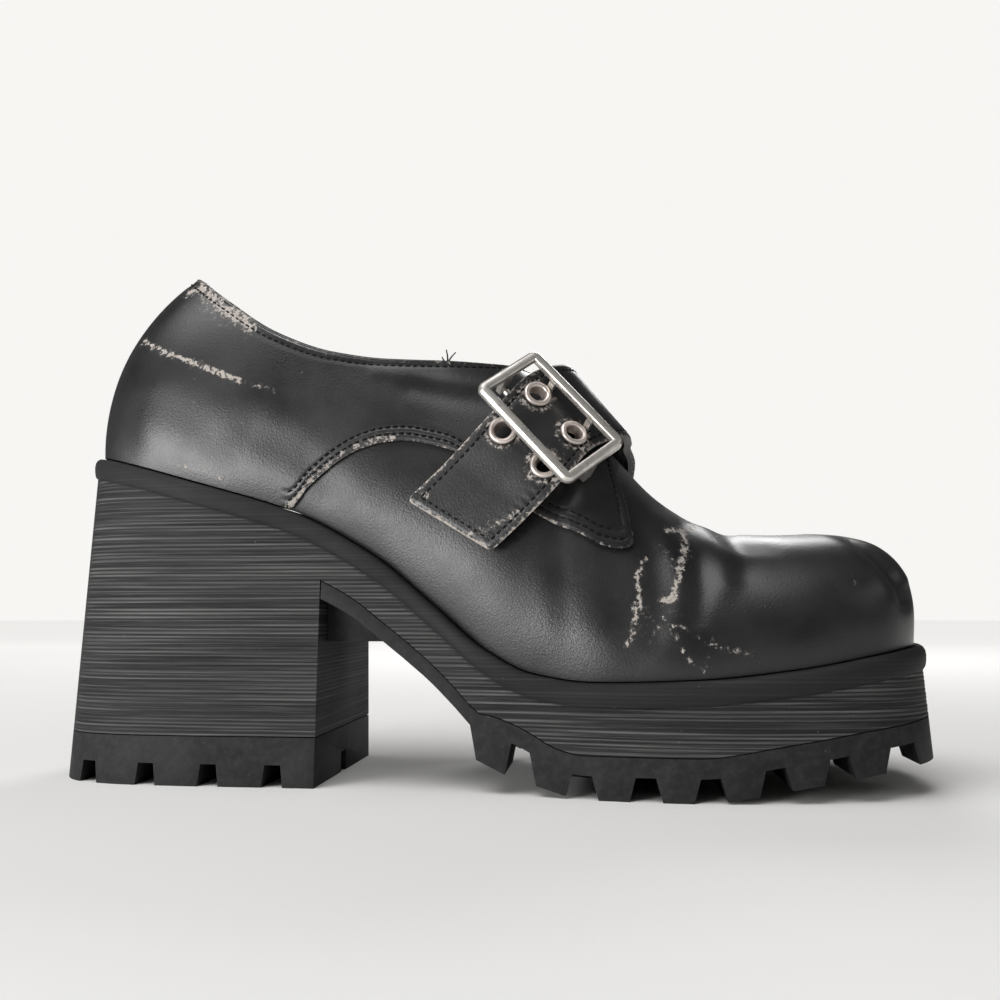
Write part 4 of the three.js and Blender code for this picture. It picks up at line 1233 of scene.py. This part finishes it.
def makeBuckle():
    # The frame as a flat bar with bevelled edges swept round a rounded rectangle
    half, e, t = buckle["bar"] / 2, buckle["edge"], buckle["thickness"] / 2
    radius = buckle["cornerRadius"] - half * 0.6
    track = roundedTrack(buckle["width"] / 2 - half, buckle["length"] / 2 - half, radius)
    bar = [
        (half, -t + e), (half, t - 1.5 * e), (half - 0.12 * e, t - 1.25 * e), (half - 1.2 * e, t - 0.1 * e),
        (half - 1.4 * e, t), (-half + 0.7 * e, t), (-half + 0.55 * e, t - 0.06 * e),
        (-half + 0.08 * e, t - 0.5 * e), (-half, t - 0.7 * e), (-half, -t + e),
        (-half + e, -t), (half - e, -t),
    ]

    def place(share, turn):
        centre, outward = track[round(share * len(track)) % len(track)]
        out, z = bar[round(turn * len(bar)) % len(bar)]
        return centre + outward * out + Vector((0, 0, z))

    parts = [closeUp(placedGrid(len(track), len(bar), place), 0.001)]
    rod = cylinder(buckle["barDiameter"] / 2, buckle["width"] - buckle["bar"], 20)
    rod.transform(Matrix.Translation((0, 0, barLevel)) @ Matrix.Rotation(math.pi / 2, 4, "Y"))
    parts.append(rod)
    top, foot = post["sink"] - t, barLevel - buckle["barDiameter"] / 2
    for end in (-1, 1):
        leg = block((end * (buckle["width"] - buckle["bar"]) / 2, 0, (top + foot) / 2),
                    (buckle["bar"] - post["room"], post["length"], top - foot))
        bmesh.ops.bevel(leg, geom=leg.edges[:], offset=post["edge"], offset_type="OFFSET", segments=1,
                        profile=0.5, affect="EDGES", material=-1)
        parts.append(leg)
    bm = joined(parts)
    bm.transform(buckleMatrix)
    finishPiece(bm, "buckleFrame", nickel, ["buckle_frame"], 28)


makeBuckle()

# Stitches

stitch = {"length": 1.7, "width": 0.6, "height": 0.46, "pitch": 2.15}
# Rows of stitches on a quarter: edge, from, to, inset, count, lift
stitchRows = [
    ("low", 0.3, 0.622, 2.3, 400, quarterOut - 0.05),
    ("low", 0.3, 0.616, 4.6, 400, quarterOut - 0.05),
    ("top", 0, 0.56, 3.2, 400, quarterOut - 0.02),
    ("front", 0.6185, quarter["tip"] - 0.0006, 2.3, 200, quarterOut - 0.05),
]


def sewAlong(path, normals, parts, thick=1.0):
    # Stitches laid at a steady pitch on a dense path
    lengths = [0.0]
    for a, b in zip(path, path[1:]):
        lengths.append(lengths[-1] + (b - a).length)
    size = Matrix.Diagonal((stitch["length"], stitch["width"] * thick, stitch["height"] * thick, 1))
    for k in range(int(lengths[-1] / stitch["pitch"])):
        target = (k + 0.5) * stitch["pitch"]
        i = min(len(path) - 2, int(np.searchsorted(lengths, target)) - 1)
        run = (path[i + 1] - path[i]).normalized()
        width = normals[i].cross(run).normalized()
        one = bmesh.new()
        bmesh.ops.create_uvsphere(one, u_segments=6, v_segments=4, radius=0.5)
        one.transform(frameMatrix(run, width, normals[i], path[i] + run * (target - lengths[i])) @ size)
        parts.append(one)


def makeStitches():
    for side, name in ((-1, "outerStitches"), (1, "innerStitches")):
        parts = []
        for row in stitchRows:
            sewAlong(*edgeLine(side, *row), parts)
        finishPiece(joined(parts), name, threadCloth, (), 80)
    parts = []
    inset = 1 - strapForm["stitchInset"] / (strap["width"] / 2)
    start = strapForm["stitchInset"] / strapLength
    rows = [[(0.02 + 0.96 * i / 400, across) for i in range(401)] for across in (-inset, inset)]
    rows.append([(start, -inset + 2 * inset * i / 100) for i in range(101)])
    for places in rows:
        path = [strapPoint(*place, strap["thickness"] - strapForm["stitchSink"]) for place in places]
        sewAlong(path, [strapFrame(*place)[2] for place in places], parts, strapForm["stitchThick"])
    finishPiece(joined(parts), "strapStitches", threadCloth, (), 80)


makeStitches()

# lean, rise and curl of each loose end
tuftEnds = [(-0.62, 0.5, 0.25), (0.12, 1.0, -0.2), (0.3, 0.8, 0.3)]
tuft = {"around": 0.46, "radius": 0.28, "reach": 4.2}


def threadTube(path, radius):
    def place(share, turn):
        t = share * (len(path) - 1)
        i = min(len(path) - 2, int(t))
        centre = path[i].lerp(path[i + 1], t - i)
        run = (path[i + 1] - path[i]).normalized()
        width = run.cross(Vector((0, 1, 0))).normalized()
        angle = 2 * math.pi * turn
        thin = radius * (1 - 0.4 * share)
        return centre + (width * math.cos(angle) + run.cross(width) * math.sin(angle)) * thin

    return capEnds(closeUp(placedGrid(14, 6, place), 0.0005))


def makeTuft():
    # Loose ends of thread sticking up from the topline's outer side
    root = offsetPoint(-1, tuft["around"], 1, 0) + Vector((0, 0, 0.2))
    strands = []
    for lean, rise, curl in tuftEnds:
        shares = [i / 8 for i in range(9)]
        path = [root + Vector((lean * t + curl * t * t, -0.1 * t, rise * t)) * tuft["reach"] for t in shares]
        strands.append(threadTube(path, tuft["radius"]))
    finishPiece(joined(strands), "looseThread", threadCloth, (), 60)


makeTuft()

# What stays as it comes from the solids

kept = {"insole": insoleCloth, "buckle_loop": strapLeather, "prong_rear": nickel, "prong_front": nickel}
for name, material in kept.items():
    nodes[name].data.materials.clear()
    nodes[name].data.materials.append(material)


# Floor, light and camera

studio = {
    "floor": colourOf(0.86, 0.852, 0.84),
    "world": (0.93, 0.92, 0.9, 1),
    "worldStrength": 1.0,
    "farGlow": 0.56,
    "roomLight": 0.1,
    "sun": 1.0,
    "sunSoftness": 55.0,
    "sunDirection": (0.3, 0.25, -1),
    "focalLength": 38.88,
    "camera": (35.2, -328, 48),
    "forward": (-0.0981, 1, 0.1037),
}


lights = [
    {"name": "lowLight", "place": (-0.62, -0.8, 0.2), "target": (0, -0.03, 0.06), "size": 0.36, "power": 4.0},
    {"name": "topLight", "place": (-0.25, -0.35, 0.95), "target": (0, 0, 0.1), "size": 0.85, "power": 3.6},
    {"name": "toeLight", "place": (0.8, -0.3, 0.55), "target": (0.09, 0, 0.06), "size": 0.3, "power": 0.3},
    {"name": "backLight", "place": (0.1, 0.9, 0.7), "target": (0, 0, 0.08), "size": 0.5, "power": 3.5},
    {"name": "stripLight", "place": (-0.33, -0.38, 0.05), "target": (-0.04, -0.04, 0.07), "size": 0.4,
     "power": 0.9, "height": 0.06},
]


def makeFloor():
    bm = bmesh.new()
    bmesh.ops.create_circle(bm, cap_ends=True, segments=64, radius=6)
    floor = asObject(bm, "floor")
    material, tree, skin = startMaterial("paleFloor")
    skin.inputs["Base Color"].default_value = studio["floor"]
    skin.inputs["Roughness"].default_value = 0.9
    skin.inputs["Specular IOR Level"].default_value = 0.1
    away = addNode(tree, "ShaderNodeVectorMath", operation="LENGTH", i0=coordinates(tree)).outputs["Value"]
    skin.inputs["Emission Color"].default_value = studio["world"]  # evens out the floor far from the lights
    tree.links.new(ramp(tree, away, 0.15, 1.3, 0.0, studio["farGlow"]), skin.inputs["Emission Strength"])
    floor.data.materials.append(material)


def addLight(name, place, target, size, power, height=None):
    data = bpy.data.lights.new(name, "AREA")
    data.shape = "RECTANGLE" if height else "DISK"
    data.size = size
    if height:
        data.size_y = height
    data.energy = power
    light = bpy.data.objects.new(name, data)
    light.location = place
    light.rotation_euler = (Vector(target) - Vector(place)).to_track_quat("-Z", "Y").to_euler()
    bpy.context.scene.collection.objects.link(light)


def addSun():
    # Even light from above, very soft, which keeps the whole floor pale
    data = bpy.data.lights.new("softSun", "SUN")
    data.energy = studio["sun"]
    data.angle = math.radians(studio["sunSoftness"])
    light = bpy.data.objects.new("softSun", data)
    light.rotation_euler = Vector(studio["sunDirection"]).to_track_quat("-Z", "Y").to_euler()
    bpy.context.scene.collection.objects.link(light)


makeFloor()
for light in lights:
    addLight(**light)
addSun()


def makeRoom():
    # Pale where the camera sees it, dimmer as a light so that black leather stays black
    world = bpy.data.worlds.new("paleRoom")
    world.use_nodes = True
    tree = world.node_tree
    room = tree.nodes["Background"]
    room.inputs["Color"].default_value = studio["world"]
    room.inputs["Strength"].default_value = studio["roomLight"]
    seen = addNode(tree, "ShaderNodeBackground", Color=studio["world"], Strength=studio["worldStrength"])
    path = tree.nodes.new("ShaderNodeLightPath")
    both = tree.nodes.new("ShaderNodeMixShader")
    tree.links.new(path.outputs["Is Camera Ray"], both.inputs[0])
    tree.links.new(room.outputs[0], both.inputs[1])
    tree.links.new(seen.outputs[0], both.inputs[2])
    tree.links.new(both.outputs[0], tree.nodes["World Output"].inputs["Surface"])
    bpy.context.scene.world = world


makeRoom()
bpy.context.scene.view_settings.view_transform = "Standard"

cameraData = bpy.data.cameras.new("camera")
cameraData.sensor_width = 36
cameraData.lens = studio["focalLength"]
cameraData.clip_start = 0.01
camera = bpy.data.objects.new("camera", cameraData)
camera.location = [(a + b) / 1000 for a, b in zip(studio["camera"], shoe["origin"])]
camera.rotation_euler = Vector(studio["forward"]).to_track_quat("-Z", "Y").to_euler()
bpy.context.scene.collection.objects.link(camera)
bpy.context.scene.camera = camera
print("stage ready")
